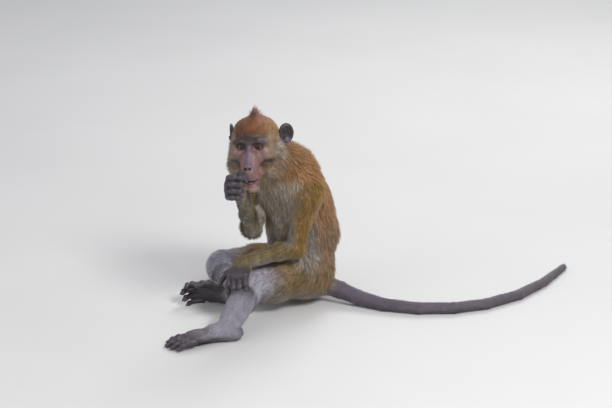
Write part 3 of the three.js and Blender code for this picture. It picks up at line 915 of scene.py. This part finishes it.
def fur_colour(p, normal, share, along):
    """The coat's colour at points on the skin."""
    colour = np.zeros((len(p), 3))
    behind = -(normal @ trunk.f)
    back = smooth_step(behind + 0.3 * smooth_step(p[:, 2], 175, 212), -0.28, 0.06)
    torso = torso_colour(p, behind, back)
    for i, b in enumerate(BONES):
        on_torso = b["name"] in ("rump", "belly", "chest", "back")
        colour += share[i][:, None] * (torso if on_torso else bone_colour(b, p, normal, along[i], back))
    return colour


def spot(q, place, sizes):
    """1 at a place on either side of the head, fading over its sizes: forward, sideways and up."""
    d = (np.stack([q[:, 0], np.abs(q[:, 1]), q[:, 2]], axis=1) - vec(*place)) / vec(*sizes)
    return np.exp(-(d**2).sum(1))


def head_fur_colour(p):
    q = head.local(p)
    side = np.abs(q[:, 1])
    forehead = 1.25 * spot(q, (-3, 0, 11), (17, 19, 8)) + spot(q, (-3, 18, 8), (12, 11, 6))
    cheek = smooth_step(side, 14, 24) * smooth_step(4 - q[:, 2], 0, 12)
    marks = [
        ("gold", smooth_step(side, 16, 32) * 0.75),
        ("forehead", forehead * (1.05 + 0.25 * noise(p, 9, 57))),
        ("cheek", cheek * (0.85 + 0.4 * noise(p, 8, 58))),
        ("whisker", spot(q, (-36, 36, -8), (16, 14, 15)) * 0.9),
        ("whisker", spot(q, (-12, 31, 14), (9, 4.5, 7)) * 0.8),
        ("throat", smooth_step(-q[:, 2], 26, 46)),
        ("stripe", 1.4 * spot(q, (-5, 25, -22), (18, 11, 4))),
        ("ochre", spot(q, (-5, 26, -31), (18, 8, 4))),
        ("crest", 0.85 * crest_of(q)),
    ]
    colour = FUR["crown"]
    for name, amount in marks:
        colour = blend(colour, FUR[name], amount)
    return colour


def crest_of(q):
    """1 in the middle of the crest on the crown."""
    around = ((q[:, 0] + CREST[0]) / 7) ** 2 + ((q[:, 1] - CREST[1]) / 6) ** 2
    return np.exp(-around) * smooth_step(q[:, 2], 22, 30)


def face_colour(q, p):
    """The bare skin of the face, from the head's forward, left and up, with painted shade under the brow, in
    the nostrils and inside the mouth.
    """
    forward, up = q[:, 0], q[:, 2]
    side = np.abs(q[:, 1])
    ring = np.hypot((side - EYE_HALF_GAP) / 1.5, up - 0.5)
    outer_lid = np.exp(-(((side - 23) / 4) ** 2 + ((up + 3) / 5) ** 2))
    # Painted shade in the nostrils' hollows.
    nostril = np.exp(-(((up + 28.6) / 2.4) ** 2 + ((side - 3.6) / 2.2) ** 2)) * smooth_step(forward, 21, 25)
    # Inside the mouth's slit: the mouth's red, darkened as painted shade.
    inside_mouth = (1 - smooth_step(np.abs(above_mouth(q)), 0.8, 3.2)) * smooth_step(forward, 2, 10)
    marks = [
        ("edge", smooth_step(side, 13, 23) * 0.45),
        ("bridge", bell(q[:, 1], 0, 5.2) * smooth_step(up, -34, -25) * 0.75),
        ("lips", smooth_step(-up, 34, 44) * smooth_step(forward, 4, 14) * 0.8),
        ("chin", smooth_step(-up, 57, 63) * 0.8),
        ("lid", outer_lid * 0.3),
        ("dark", (1 - smooth_step(ring, 4.6, 8)) * 0.85),
        # Painted shade: a dark band from the upper lids up, under the brow ridge.
        ("dark", smooth_step(up, 2, 5) * (1 - smooth_step(side, 24, 32)) * 0.92),
        # painted shade in the nostrils
        ("dark", nostril * 0.9),
        # the mouth's red with painted shade inside the slit
        ("mouth", inside_mouth * 0.9),
    ]
    colour = SKIN["face"]
    for name, amount in marks:
        colour = blend(colour, SKIN[name], amount)
    return colour * (1 + 0.13 * noise(p, 9, 3) + 0.1 * noise(p, 3.5, 4))[:, None]


def hand_along(p):
    """0 at the wrist of the nearer hand, 1 at the end of its palm."""
    along = [hand.frame.local(p)[:, 0] / hand.palm for hand in HANDS.values()]
    away = [norm(p - hand.frame.at(hand.palm / 2, 0, 0), axis=1) for hand in HANDS.values()]
    return np.where(away[0] < away[1], along[0], along[1])


def near_face(q):
    """True where the head's skin and the fist at the mouth lie close together."""
    return (q[:, 0] > -10) & (q[:, 0] < 45) & (np.abs(q[:, 1]) < 40) & (np.abs(q[:, 2] + 38) < 40)


def skin_colour(p, normal):
    share, along = bone_shares(p)
    q = head.local(p)
    # Under the coat the skin takes the coat's colour darkened to 0.6, a painted shade where the tufts cover
    # it, with a little of the skin's own colour.
    colour = fur_colour(p, normal, share, along) * 0.6 + SKIN["under"] * 0.1
    fist = smooth_step(head_field(p) - HANDS["right"].field(p.astype(F)), -0.5, 0.5)
    on_head = shares_of(share, "head", "neck")
    off_face = np.where(near_face(q), fist, 1)
    digits = shares_of(share, "digit") * off_face
    hands = shares_of(share, "hand") * off_face * smooth_step(hand_along(p), 0.5, 1)
    feet = shares_of(share, "foot")
    colour = blend(colour, SKIN["hand"], digits + hands)
    soles = np.zeros(len(p))
    for foot in FEET.values():
        near = 1 - smooth_step(norm(p - foot.frame.at(foot.length * 0.6, 0, 4), axis=1), 70, 90)
        soles = np.maximum(soles, near * smooth_step(-(normal @ foot.frame.u), 0.0, 0.5))
    colour = blend(colour, SKIN["foot"], feet)
    colour = blend(colour, SKIN["sole"], soles * (feet + digits))
    for s in SIGNS:
        on_ear = 1 - smooth_step(ear_field(p, s), 0.6, 2.5)
        lobe = bell(ear_frame(s).local(p)[:, 2], -12, 4.5)
        # Painted shade: the hollow of each ear's bowl is darkened.
        bowl = 1 - smooth_step(ear_bowl(p.astype(F), s), 0.2, 1.6)
        colour = blend(colour, SKIN["ear"] * 1.2, on_ear)
        colour = blend(colour, SKIN["dark"] * 0.45, on_ear * bowl * (0.7 + 0.3 * noise(p, 8, 81)))
        colour = blend(colour, SKIN["bridge"], on_ear * lobe * 0.7)
    mask = face_mask(q) * np.where(near_face(q), 1 - fist, on_head > 0.3)
    colour = colour * (1 - mask[:, None]) + face_colour(q, p) * mask[:, None]
    return np.clip(colour * (1 + 0.06 * noise(p, 14, 5))[:, None], 0, 1)


def set_colours(mesh, name, colours):
    layer = mesh.color_attributes.new(name=name, type="FLOAT_COLOR", domain="POINT")
    rgba = np.ones((len(colours), 4), dtype=F)
    rgba[:, :3] = colours
    layer.data.foreach_set("color", rgba.ravel())


# ---- tufts
CLUMP = 11.0  # mm across a lock of tufts
# The tufts' darker roots are painted shade, where the tufts cover each other and the skin.
ROOT_PAINTED_SHADE = 0.5  # how dark a tuft is at its root
TIP_BAND = 0.22  # how much lighter the band near its tip is
PATCH = 0.003  # the side of each tuft's patch on the OFBake map
LAYERS = 15.5  # how many tufts lie over each point of the skin
MOST_TUFTS = 0.9  # for each square millimetre
SHORTEST = 1.2  # mm: shorter tufts are left out
PIECE_LIMIT = 196_000  # triangles
PROFILE = {1: [0.85, 0.8], 2: [0.8, 1.0, 0.6]}  # a tuft's width at each ring, in parts of its full width
FLATNESS = 0.42
BURIED = 0.7  # how deep a tuft's root lies in the skin
LOCK_PULL = 0.035  # how strongly tufts lean towards the middle of their lock
DROOP = 0.10  # how strongly their tips hang
TUFT_SWAY = 0.22  # radians: how far tufts turn aside, each on its own and whole patches together
PATCH_SWAY = 0.35
WHISKER_LIFT = 20  # degrees more that whiskers stand up, and how steeply the crest does
CREST_LIFT = 68
CREST_TOP = 54  # height over the eyes of the point that the crest's tufts lean to
CORNERS = ((1, -0.5), (-1, -0.5), (0, 1))  # of a tuft's section: sideways and upwards


def scatter(skin, density):
    """Points on the skin, with `density` tufts for each square millimetre, and the skin's normal there."""
    mesh = skin.data
    mesh.calc_loop_triangles()
    corners = read(mesh.loop_triangles, "vertices", 3, np.int32)
    verts = to_pose(vertices_of(mesh))
    normals = normals_of(mesh).astype(float)
    a, b, c = (verts[corners[:, i]] for i in range(3))
    area = norm(np.cross(b - a, c - a), axis=1) / 2
    wanted = area * density((a + b + c) / 3, units(normals[corners].sum(1)))
    count = np.floor(wanted + rng.random(len(wanted))).astype(int)
    chosen = np.repeat(np.arange(len(corners)), count)
    u, v = rng.random((2, len(chosen)))
    flip = u + v > 1
    u[flip] = 1 - u[flip]
    v[flip] = 1 - v[flip]
    weights = np.stack([1 - u - v, u, v], axis=1)[:, :, None]
    tri = corners[chosen]
    return (verts[tri] * weights).sum(1), units((normals[tri] * weights).sum(1))


FRINGE = 9  # mm longer under the thigh, in the whiskers and in the crest
WHISKERS = 9
CREST_LENGTH = 15
FACE_CUT = 0.68  # how much shorter the fur is beside the face


def coat_length(p, normal, share, along):
    length = np.zeros(len(p))
    for i, b in enumerate(BONES):
        length += share[i] * (b["hair"][0] + (b["hair"][1] - b["hair"][0]) * along[i])
        if b["name"] == "thigh":
            under = smooth_step(-normal[:, 2], 0.1, 0.8) * (1 - smooth_step(along[i], 0.55, 0.85))
            length += FRINGE * share[i] * under
    q = head.local(p)
    on_head = shares_of(share, "head")
    cut = 1 - FACE_CUT * smooth_step(inside_face(q), -16, 0) * on_head
    whiskers = WHISKERS * whiskers_of(q) * (on_head > 0.3)
    length = (length + whiskers + on_head * CREST_LENGTH * crest_of(q)) * cut
    ears = np.minimum(ear_field(p, 1), ear_field(p, -1))
    return length * (0.4 + 0.6 * smooth_step(ears, 1, 11))


def furless(p, normal, share):
    """1 where no tufts grow: the face, palms, soles, digits and ears."""
    bare = face_mask(head.local(p)) * (shares_of(share, "head", "neck") > 0.3)
    bare = np.maximum(bare, smooth_step(shares_of(share, "digit"), 0.35, 0.6))
    for hand in HANDS.values():
        near = norm(p - hand.frame.at(16, 0, 0), axis=1) < 28
        bare = np.maximum(bare, near * smooth_step(normal @ hand.frame.u, 0.1, 0.4))
    for foot in FEET.values():
        near = norm(p - foot.frame.at(foot.length * 0.5, 0, 4), axis=1) < 52
        bare = np.maximum(bare, near * smooth_step(-(normal @ foot.frame.u), 0.0, 0.35))
    off_head = head_field(p) > 1.5
    for s in SIGNS:
        bare = np.maximum(bare, (ear_field(p, s) < 1.2) & off_head)
    return bare


def whiskers_of(q):
    """1 in the fan of longer fur over the cheeks and behind them."""
    side = np.abs(q[:, 1])
    return smooth_step(side, 22, 30) * smooth_step(8 - q[:, 2], 0, 14) * smooth_step(-q[:, 0], 12, 26)


def lie_of(p, normal, share):
    """The way the coat lies along the skin."""
    way = sum(share[i][:, None] * b["lie"] for i, b in enumerate(BONES))
    on_head = shares_of(share, "head")
    axes = np.stack([head.f, head.l, head.u])
    way = way * (1 - on_head[:, None]) + (head_lie(head.local(p)) @ axes) * on_head[:, None]
    way = way - normal * (way * normal).sum(1)[:, None]
    return units(way)


def turned_about(v, axis, angle):
    c, s = np.cos(angle)[:, None], np.sin(angle)[:, None]
    return v * c + np.cross(axis, v) * s + axis * (axis * v).sum(1)[:, None] * (1 - c)


def clump_of(p):
    """The middle of each point's lock, and a random number for the lock, worked out from its cell."""
    warped = p + 3 * np.stack([noise(p, 30, 21 + i) for i in range(3)], axis=1)
    cell = np.floor(warped / CLUMP).astype(np.int64)
    mix_of_cell = (cell * np.array([73856093, 19349663, 83492791])).sum(1)  # large primes spread the cells
    number = ((mix_of_cell * 2654435761) % 100003) / 100003
    other = ((mix_of_cell * 40503 + 977) % 99991) / 99991
    middle = (cell + 0.5) * CLUMP + (np.stack([number, other, 1 - number], axis=1) - 0.5) * CLUMP * 0.6
    return middle, number


class Tufts:
    """All tufts of the coat: their roots, and everything that shapes and colours them."""

    def __init__(self, roots, normals):
        self.root = roots
        self.normal = normals
        self.share, self.along = bone_shares(roots)
        n = len(roots)
        self.length = coat_length(roots, normals, self.share, self.along) * rng.uniform(0.75, 1.2, n)
        lie = lie_of(roots, normals, self.share)
        sway = TUFT_SWAY * rng.normal(size=n) + PATCH_SWAY * noise(roots, 42, 31)
        self.lie = turned_about(lie, normals, sway)
        lift = sum(self.share[i] * b["lift"] for i, b in enumerate(BONES))
        q = head.local(roots)
        crest = crest_of(q) * shares_of(self.share, "head")
        lift = lift + WHISKER_LIFT * whiskers_of(q) * shares_of(self.share, "head", "neck")
        self.lift = rad(lift * rng.uniform(0.7, 1.35, n) * (1 - 0.5 * crest) + CREST_LIFT * crest)
        self.colour = fur_colour(roots, normals, self.share, self.along)
        middle, number = clump_of(roots)
        toward = middle - roots
        toward += (H(-CREST[0] - 2, CREST[1] + 1, CREST_TOP) - roots - toward) * crest[:, None]
        self.toward = (toward - normals * (toward * normals).sum(1)[:, None]) * (1 + 3 * crest)[:, None]
        streaks = noise(roots * STREAK_STRETCH, 7, 71) + noise(roots * STREAK_STRETCH, 4, 72)
        flecks = 0.3 * (number - 0.5) + 0.22 * rng.normal(size=n) + 0.16 * streaks
        flecks *= 1 - 0.65 * shares_of(self.share, "shin", "foot", "tail")
        shade = 1 + flecks + 0.08 * noise(roots, 60, 41)
        self.colour = np.clip(self.colour * shade[:, None], 0, 1)
        self.width = tuft_width(self.length) * rng.uniform(0.75, 1.2, n)

    def __getitem__(self, some):
        part = object.__new__(Tufts)
        for name, value in vars(self).items():
            setattr(part, name, value[:, some] if name in ("share", "along") else value[some])
        return part


def tuft_mesh(tufts, rings):
    """Closed three-sided blades, each with `rings` + 1 rings and a tip. Returns arrays for one mesh."""
    n = len(tufts.root)
    steps = rings + 1
    points = [tufts.root - tufts.normal * BURIED]
    ways = []
    for k in range(steps):
        s = k / steps
        lift = tufts.lift * (1.25 - 1.15 * s)
        way = tufts.lie * np.cos(lift)[:, None] + tufts.normal * np.sin(lift)[:, None]
        way = units(way + tufts.toward * (LOCK_PULL * s) + DOWN * (DROOP * s))
        ways.append(way)
        points.append(points[-1] + way * (tufts.length / steps)[:, None])
    for point in points:
        point[:, 2] = np.maximum(point[:, 2], FLOOR_FLAT + 0.25)
    ways.append(ways[-1])
    verts, outward, strand = [], [], []
    for k, share in enumerate(PROFILE[rings]):
        across = units(np.cross(ways[k], tufts.normal))
        over = np.cross(across, ways[k])
        half = (tufts.width * share / 2)[:, None]
        for side, up in CORNERS:
            verts.append(points[k] + across * half * side + over * half * FLATNESS * up * 2)
            outward.append(units(tufts.normal + 0.55 * across * side + 0.2 * over))
            strand.append(np.stack([np.full(n, 0.5 + 0.5 * side), np.full(n, k / steps)], axis=1))
    verts.append(points[-1])
    outward.append(units(tufts.normal + 0.3 * ways[-1]))
    strand.append(np.stack([np.full(n, 0.5), np.ones(n)], axis=1))
    faces = np.array(blade_faces(rings))
    each = len(verts)
    index = (faces[None] + (np.arange(n) * each)[:, None, None]).reshape(-1, 3)
    return per_tuft(verts), index, per_tuft(outward), per_tuft(strand), each


def per_tuft(parts):
    """Rows for the first tuft's vertices, then the second's, and so on."""
    return np.stack(parts, axis=1).reshape(len(parts[0]) * len(parts), -1)


def blade_faces(rings):
    """The triangles of one blade, with their fronts outwards: its base, its sides and its tip."""
    faces = [[0, 2, 1]]
    for first in range(0, 3 * rings, 3):
        for i in range(3):
            j = (i + 1) % 3
            faces.append([first + i, first + 3 + j, first + 3 + i])
            faces.append([first + i, first + j, first + 3 + j])
    last = 3 * rings
    tip = last + 3
    for i in range(3):
        faces.append([last + i, last + (i + 1) % 3, tip])
    return faces


def unwrap(tufts):
    """Each root's place on an unwrap of the skin: a tile for each bone, laid out by angle and length."""
    best = tufts.share.argmax(0)
    tiles, tile = np.unique(best, return_inverse=True)
    columns = int(np.ceil(np.sqrt(len(tiles))))
    uv = np.zeros((len(best), 2))
    for i, bone_index in enumerate(tiles):
        b = BONES[bone_index]
        mine = tile == i
        axis = unit(b["b"] - b["a"])
        side = unit(np.cross(axis, trunk.f if abs(axis[2]) > 0.7 else UP))
        over = np.cross(axis, side)
        d = tufts.root[mine] - b["a"]
        angle = np.arctan2(d @ over, d @ side) / (2 * np.pi) + 0.5
        reach = 1.6 * norm(b["b"] - b["a"]) + 2 * b["r"]
        height = np.clip((d @ axis + 0.3 * reach) / (1.6 * reach), 0, 1)
        column, row = i % columns, i // columns
        uv[mine, 0] = (column + 0.02 + 0.96 * angle) / columns
        uv[mine, 1] = (row + 0.02 + 0.96 * height) / columns
    return uv


def add_uv(mesh, name, values):
    loops = read(mesh.loops, "vertex_index", 1, np.int32)
    layer = mesh.uv_layers.new(name=name)
    layer.data.foreach_set("uv", values[loops].astype(F).ravel())


def coat_piece(name, tufts, rings, material, slot):
    verts, faces, outward, strand, each = tuft_mesh(tufts, rings)
    piece = new_mesh(name, verts, faces)
    along = strand[:, 1:2]
    colour = np.repeat(tufts.colour, each, axis=0)
    # Painted shade: each tuft darkens towards its root, where the coat covers it.
    colour = colour * (ROOT_PAINTED_SHADE + (1 - ROOT_PAINTED_SHADE) * np.minimum(along * 1.6, 1))
    colour = colour * (1 + TIP_BAND * np.exp(-(((along - 0.72) / 0.16) ** 2)))
    set_colours(piece.data, "coat", np.clip(colour, 0, 1))
    add_uv(piece.data, "OFBake", np.repeat(unwrap(tufts), each, axis=0) + (strand - 0.5) * PATCH)
    add_uv(piece.data, "Strand", strand)
    piece.data.normals_split_custom_set_from_vertices(outward.tolist())
    piece.data.materials.append(material)
    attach(piece, "root")


def tuft_width(length):
    return np.clip(0.4 + 0.042 * length, 0.45, 1.25)


def tuft_density(p, normal):
    share, along = bone_shares(p)
    length = coat_length(p, normal, share, along)
    wanted = LAYERS / np.maximum(length * tuft_width(length), 1)
    return np.minimum(wanted, MOST_TUFTS) * (1 - furless(p, normal, share))


COAT_PIECES = (
    "coat_belly", "coat_chest", "coat_back", "coat_neck", "coat_head", "coat_tail",
    "coat_arm_left", "coat_arm_right", "coat_leg_left", "coat_leg_right",
)
LONG_COATS = ("coat_belly", "coat_chest", "coat_back")  # their tufts have one more ring
GREY_COATS = ("coat_tail", "coat_leg_left", "coat_leg_right")


def make_coat(skin):
    brown = coat_material("coat_brown", roughness=0.55, sheen=0.15)
    grey = coat_material("coat_grey", roughness=0.6, sheen=0.15)
    tufts = Tufts(*scatter(skin, tuft_density))
    tufts = tufts[tufts.length > SHORTEST]
    piece_of = np.array([b["piece"] for b in BONES])[tufts.share.argmax(0)]
    for name in COAT_PIECES:
        rings = 2 if name in LONG_COATS else 1
        material, slot = (grey, "coat_grey") if name in GREY_COATS else (brown, "coat_brown")
        mine = np.nonzero(piece_of == name)[0]
        room = PIECE_LIMIT // len(blade_faces(rings))
        if len(mine) > room:
            mine = np.sort(rng.permutation(mine)[:room])
        print("coat", name, len(mine), "tufts")
        coat_piece(name, tufts[mine], rings, material, slot)


# ---- materials
MIX_A = 6  # the sockets for colours on a Mix node
MIX_B = 7
MIX_RESULT = 2


class Nodes:
    """A material built up node by node."""

    def __init__(self, name):
        self.material = bpy.data.materials.new(name)
        self.material.use_nodes = True
        self.tree = self.material.node_tree
        self.shader = self.tree.nodes["Principled BSDF"]

    def add(self, kind, inputs=(), **settings):
        node = self.tree.nodes.new("ShaderNode" + kind)
        for key, value in settings.items():
            setattr(node, key, value)
        for key, value in dict(inputs).items():
            self.give(node.inputs[key], value)
        return node

    def give(self, socket, value):
        """Links the socket to another node's output, or sets it to a number or colour."""
        if isinstance(value, bpy.types.NodeSocket):
            self.tree.links.new(value, socket)
        else:
            socket.default_value = value

    def shade(self, **values):
        for key, value in values.items():
            self.give(self.shader.inputs[key.replace("_", " ")], value)

    def place(self, stretch=(1, 1, 1)):
        coords = self.add("TexCoord").outputs["Object"]
        return self.add("VectorMath", {0: coords, 1: stretch}, operation="MULTIPLY").outputs[0]

    def noise(self, place, scale, detail=3.0, distortion=0.0):
        inputs = {"Vector": place, "Scale": scale, "Detail": detail, "Distortion": distortion}
        return self.add("TexNoise", inputs).outputs["Fac"]

    def cells(self, place, scale):
        return self.add("TexVoronoi", {"Vector": place, "Scale": scale}).outputs["Distance"]

    def between(self, value, low, high, start=0.25, end=0.75):
        inputs = {"Value": value, "From Min": start, "From Max": end, "To Min": low, "To Max": high}
        return self.add("MapRange", inputs).outputs["Result"]

    def times(self, colour, value):
        return self.add("VectorMath", {0: colour, "Scale": value}, operation="SCALE").outputs["Vector"]

    def mixed(self, a, b, amount):
        inputs = {0: amount, MIX_A: a, MIX_B: b}
        return self.add("Mix", inputs, data_type="RGBA").outputs[MIX_RESULT]

    def colour_of(self, name):
        return self.add("Attribute", attribute_name=name).outputs["Color"]

    def bump(self, height, distance, strength=1.0, under=None):
        node = self.add("Bump", {"Height": height, "Distance": distance, "Strength": strength})
        if under is not None:
            self.give(node.inputs["Normal"], under)
        return node.outputs["Normal"]


def skin_material():
    m = Nodes("skin")
    place = m.place()
    mottle = m.between(m.noise(place, 420, 4), 0.88, 1.12)
    m.shade(Base_Color=m.times(m.colour_of("skin"), mottle))
    m.shade(Roughness=m.between(m.noise(place, 260, 2), 0.36, 0.58))
    m.shade(Subsurface_Weight=0.1, Subsurface_Scale=0.003, Specular_IOR_Level=0.5)
    m.shader.inputs["Subsurface Radius"].default_value = (1.0, 0.4, 0.3)
    creases = m.bump(m.noise(place, 310, 5, 0.6), 0.0006, 0.5)
    pores = m.bump(m.cells(place, 1100), 0.00025, 0.35, creases)
    down_coat = m.bump(m.noise(m.place((1, 1, 0.3)), 900, 3), 0.0005, 0.35, pores)
    m.shade(Normal=down_coat)
    return m.material


def coat_material(name, roughness, sheen):
    m = Nodes(name)
    strand = m.add("UVMap", uv_map="Strand").outputs["UV"]
    hairs = m.add("VectorMath", {0: strand, 1: (9, 0.8, 1)}, operation="MULTIPLY").outputs[0]
    place = m.add("VectorMath", {0: m.place((160, 160, 160)), 1: hairs}, operation="ADD").outputs[0]
    streaks = m.noise(place, 1.6, 2)
    m.shade(Base_Color=m.times(m.colour_of("coat"), m.between(streaks, 0.78, 1.22)))
    m.shade(Roughness=m.between(streaks, roughness - 0.08, roughness + 0.08))
    m.shade(Specular_IOR_Level=0.35, Sheen_Weight=sheen, Sheen_Roughness=0.5)
    m.shade(Normal=m.bump(streaks, 0.0004, 0.4))
    return m.material


def eye_material():
    """Pupil, amber iris with fibres and a dark rim, and brown white, from the eye's own flat map."""
    m = Nodes("eye")
    pupil, iris = PUPIL_R / EYE_R / 2, IRIS_R / EYE_R / 2
    flat = m.add("UVMap", uv_map="Gaze").outputs["UV"]
    centred = m.add("VectorMath", {0: flat, 1: (-0.5, -0.5, 0)}, operation="ADD").outputs[0]
    radius = m.add("VectorMath", {0: centred}, operation="LENGTH").outputs["Value"]
    around = m.add("VectorMath", {0: centred}, operation="NORMALIZE").outputs[0]
    fibres = m.noise(around, 9, 5)
    ramp = m.add("ValToRGB", {"Fac": radius})
    stops = [
        (0.0, (6, 5, 5)), (pupil - 0.006, (6, 5, 5)), (pupil + 0.006, (58, 34, 18)),
        (pupil + 0.05, (118, 74, 34)), (iris - 0.05, (98, 60, 30)), (iris - 0.012, (40, 24, 14)),
        (iris + 0.03, (88, 66, 54)), (0.45, (150, 128, 116)),
    ]
    while len(ramp.color_ramp.elements) < len(stops):
        ramp.color_ramp.elements.new(0.5)
    for element, (position, colour) in zip(ramp.color_ramp.elements, stops):
        element.position = position
        element.color = (*srgb(*colour), 1)
    m.shade(Base_Color=m.times(ramp.outputs["Color"], m.between(fibres, 0.7, 1.35)))
    m.shade(Roughness=m.between(m.noise(m.place(), 500, 2), 0.12, 0.22))
    m.shade(Normal=m.bump(m.noise(m.place(), 300, 2), 0.00008, 0.3))
    m.shade(IOR=1.38, Coat_Weight=1.0, Coat_Roughness=0.02)
    return m.material


def horn_material(name, colour, other, roughness, scale):
    m = Nodes(name)
    grain = m.noise(m.place(), scale, 4)
    m.shade(Base_Color=m.mixed((*colour, 1), (*other, 1), m.between(grain, 0, 1)))
    m.shade(Roughness=m.between(grain, roughness, roughness + 0.15))
    m.shade(Normal=m.bump(grain, 0.0002, 0.4))
    return m.material


def floor_material():
    m = Nodes("floor")
    grain = m.noise(m.place(), 3, 6)
    m.shade(Base_Color=m.mixed((0.66, 0.655, 0.645, 1), (0.70, 0.695, 0.685, 1), m.between(grain, 0, 1)))
    m.shade(Roughness=m.between(grain, 0.7, 0.8))
    m.shade(Normal=m.bump(m.noise(m.place(), 400, 3), 0.0002, 0.2))
    return m.material


# ---- eyes, teeth and nails
EYE_RINGS = (56, 72)  # from front to back and round
BLOB_RINGS = (12, 16)


def round_mesh(rings, segments):
    """Directions over a ball, as polar angle and turn, with its triangles."""
    polar, turn = [0.0], [0.0]
    for i in range(1, rings):
        for j in range(segments):
            polar.append(np.pi * i / rings)
            turn.append(2 * np.pi * j / segments)
    polar.append(np.pi)
    turn.append(0.0)
    faces = []
    last = len(polar) - 1
    for j in range(segments):
        k = (j + 1) % segments
        faces.append([0, 1 + j, 1 + k])
        for i in range(rings - 2):
            a = 1 + i * segments
            b = a + segments
            faces += [[a + j, b + j, b + k], [a + j, b + k, a + k]]
        end = last - segments
        faces.append([last, end + k, end + j])
    return np.array(polar), np.array(turn), np.array(faces)


def make_eye(s, name, material):
    polar, turn, faces = round_mesh(*EYE_RINGS)
    gaze = unit(head.turned(1, -0.05 * s, -0.06))
    side = unit(np.cross(UP, gaze))
    over = np.cross(gaze, side)
    flat = np.stack([np.sin(polar) * np.cos(turn), np.sin(polar) * np.sin(turn)], axis=1)
    bulge = CORNEA * (1 - smooth_step(np.degrees(polar), 14, 44))
    ways = np.cos(polar)[:, None] * gaze + flat[:, :1] * side + flat[:, 1:] * over
    eye = new_mesh(name.replace("eye", "eyeball"), eye_centre(s) + ways * (EYE_R + bulge)[:, None], faces)
    behind = polar > np.pi / 2
    flat[behind] = units(flat[behind])
    add_uv(eye.data, "Gaze", flat / 2 + 0.5)
    eye.data.materials.append(material)
    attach(eye, "root")
    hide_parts(name)


def blob(centre, axes, radii, power):
    """A rounded lump: `power` under 1 makes it squarer."""
    polar, turn, faces = round_mesh(*BLOB_RINGS)
    ways = np.stack([np.cos(polar), np.sin(polar) * np.cos(turn), np.sin(polar) * np.sin(turn)], axis=1)
    shaped = np.sign(ways) * np.abs(ways) ** power
    return centre + (shaped * np.array(radii)) @ np.stack(axes), faces


def joined_blobs(name, blobs, material):
    verts, faces, base = [], [], 0
    for points, triangles in blobs:
        verts.append(points)
        faces.append(triangles + base)
        base += len(points)
    piece = new_mesh(name, np.concatenate(verts), np.concatenate(faces))
    piece.data.materials.append(material)
    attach(piece, "root")
    return piece


def make_nails(material):
    blobs = []
    for limb in LIMBS:
        for digit in limb.digits:
            r = digit.radii[3]
            way = digit.ways[-1]
            centre = digit.points[3] + digit.back * r * 0.5 + way * r * 0.25
            side = np.cross(way, digit.back)
            blobs.append(blob(centre, (way, side, digit.back), (r * 0.95, r * 0.68, r * 0.62), 0.8))
    joined_blobs("nails", blobs, material)


def make_teeth(material):
    """Four lower teeth that show between the lips."""
    blobs = []
    for i in range(4):
        across = (i - 1.5) * TOOTH["width"]
        back = 0.045 * across**2
        centre = H(14.6 - back, across, MOUTH_U - 1.9)
        radii = (TOOTH["depth"], TOOTH["width"] * 0.5, TOOTH["height"] * 0.6)
        blobs.append(blob(centre, (head.f, head.l, head.u), radii, 0.7))
    joined_blobs("teeth", blobs, material)


# ---- the skin, the coat and the rest
skin = make_skin()
skin_normals = normals_of(skin.data).astype(float)
set_colours(skin.data, "skin", skin_colour(to_pose(vertices_of(skin.data)), skin_normals))
skin.data.materials.append(skin_material())
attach(skin, "root")
flesh = ["skull", "jaw", "neck", "chest", "abdomen", "pelvis"] + [f"tail_{i}" for i in range(1, 5)]
for part in ("ear", "upper_arm", "forearm", "hand", "thigh", "shin", "foot"):
    flesh += [f"{part}_{side}" for side in SIDES]
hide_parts(*flesh)

make_coat(skin)
gaze_material = eye_material()
for side, sign in zip(SIDES, SIGNS):
    make_eye(sign, "eye_" + side, gaze_material)
make_nails(horn_material("nail", SKIN["nail"], srgb(88, 78, 74), roughness=0.3, scale=600))
make_teeth(horn_material("tooth", srgb(196, 180, 150), srgb(158, 136, 104), roughness=0.2, scale=300))

# ---- floor, light and camera
FLOOR_SIZE = 12.0  # metres
bpy.ops.mesh.primitive_plane_add(size=FLOOR_SIZE, location=(0, 0, cad_low[2]))
floor = bpy.context.object
floor.name = "floor"
floor.data.materials.append(floor_material())
floor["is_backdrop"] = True

world = bpy.data.worlds.new("studio")
world.use_nodes = True
background = world.node_tree.nodes["Background"]
background.inputs["Color"].default_value = (0.92, 0.94, 1.0, 1)
background.inputs["Strength"].default_value = 0.46
bpy.context.scene.world = world
bpy.context.scene.view_settings.view_transform = "Standard"


LIT_POINT = (0, 0, 0.15)


def softbox(name, place, power, size):
    """A square light that faces the animal."""
    light = bpy.data.lights.new(name, "AREA")
    light.energy = power
    light.size = size
    lamp = bpy.data.objects.new(name, light)
    lamp.location = place
    toward = Vector(LIT_POINT) - Vector(place)
    lamp.rotation_euler = toward.to_track_quat("-Z", "Y").to_euler()
    bpy.context.scene.collection.objects.link(lamp)
    lamp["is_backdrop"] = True


softbox("key", (0.9, -1.4, 1.8), power=38, size=0.7)
softbox("fill", (-1.6, -1.1, 1.0), power=7, size=1.2)
softbox("rim", (0.5, 1.5, 1.5), power=18, size=0.9)

# The camera stands far off and looks down a little, as a long lens does.
DISTANCE = 5000
LOOK_DOWN = 20
MM_PER_PIXEL = 1.6
IMAGE_WIDTH = 612
AIM = (306 - 312, 204 - 298)  # the image's middle from the pose's origin, in pixels right and down
SENSOR = 36
look = vec(0, np.cos(rad(LOOK_DOWN)), -np.sin(rad(LOOK_DOWN)))
image_up = vec(0, np.sin(rad(LOOK_DOWN)), np.cos(rad(LOOK_DOWN)))
target = vec(AIM[0], 0, 0) * MM_PER_PIXEL - image_up * AIM[1] * MM_PER_PIXEL
camera_data = bpy.data.cameras.new("camera")
camera_data.sensor_width = SENSOR
camera_data.lens = DISTANCE / MM_PER_PIXEL * SENSOR / IMAGE_WIDTH
camera = bpy.data.objects.new("camera", camera_data)
camera.location = to_frame(target - look * DISTANCE)
camera.rotation_euler = (rad(90 - LOOK_DOWN), 0, 0)
bpy.context.scene.collection.objects.link(camera)
bpy.context.scene.camera = camera

low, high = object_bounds()
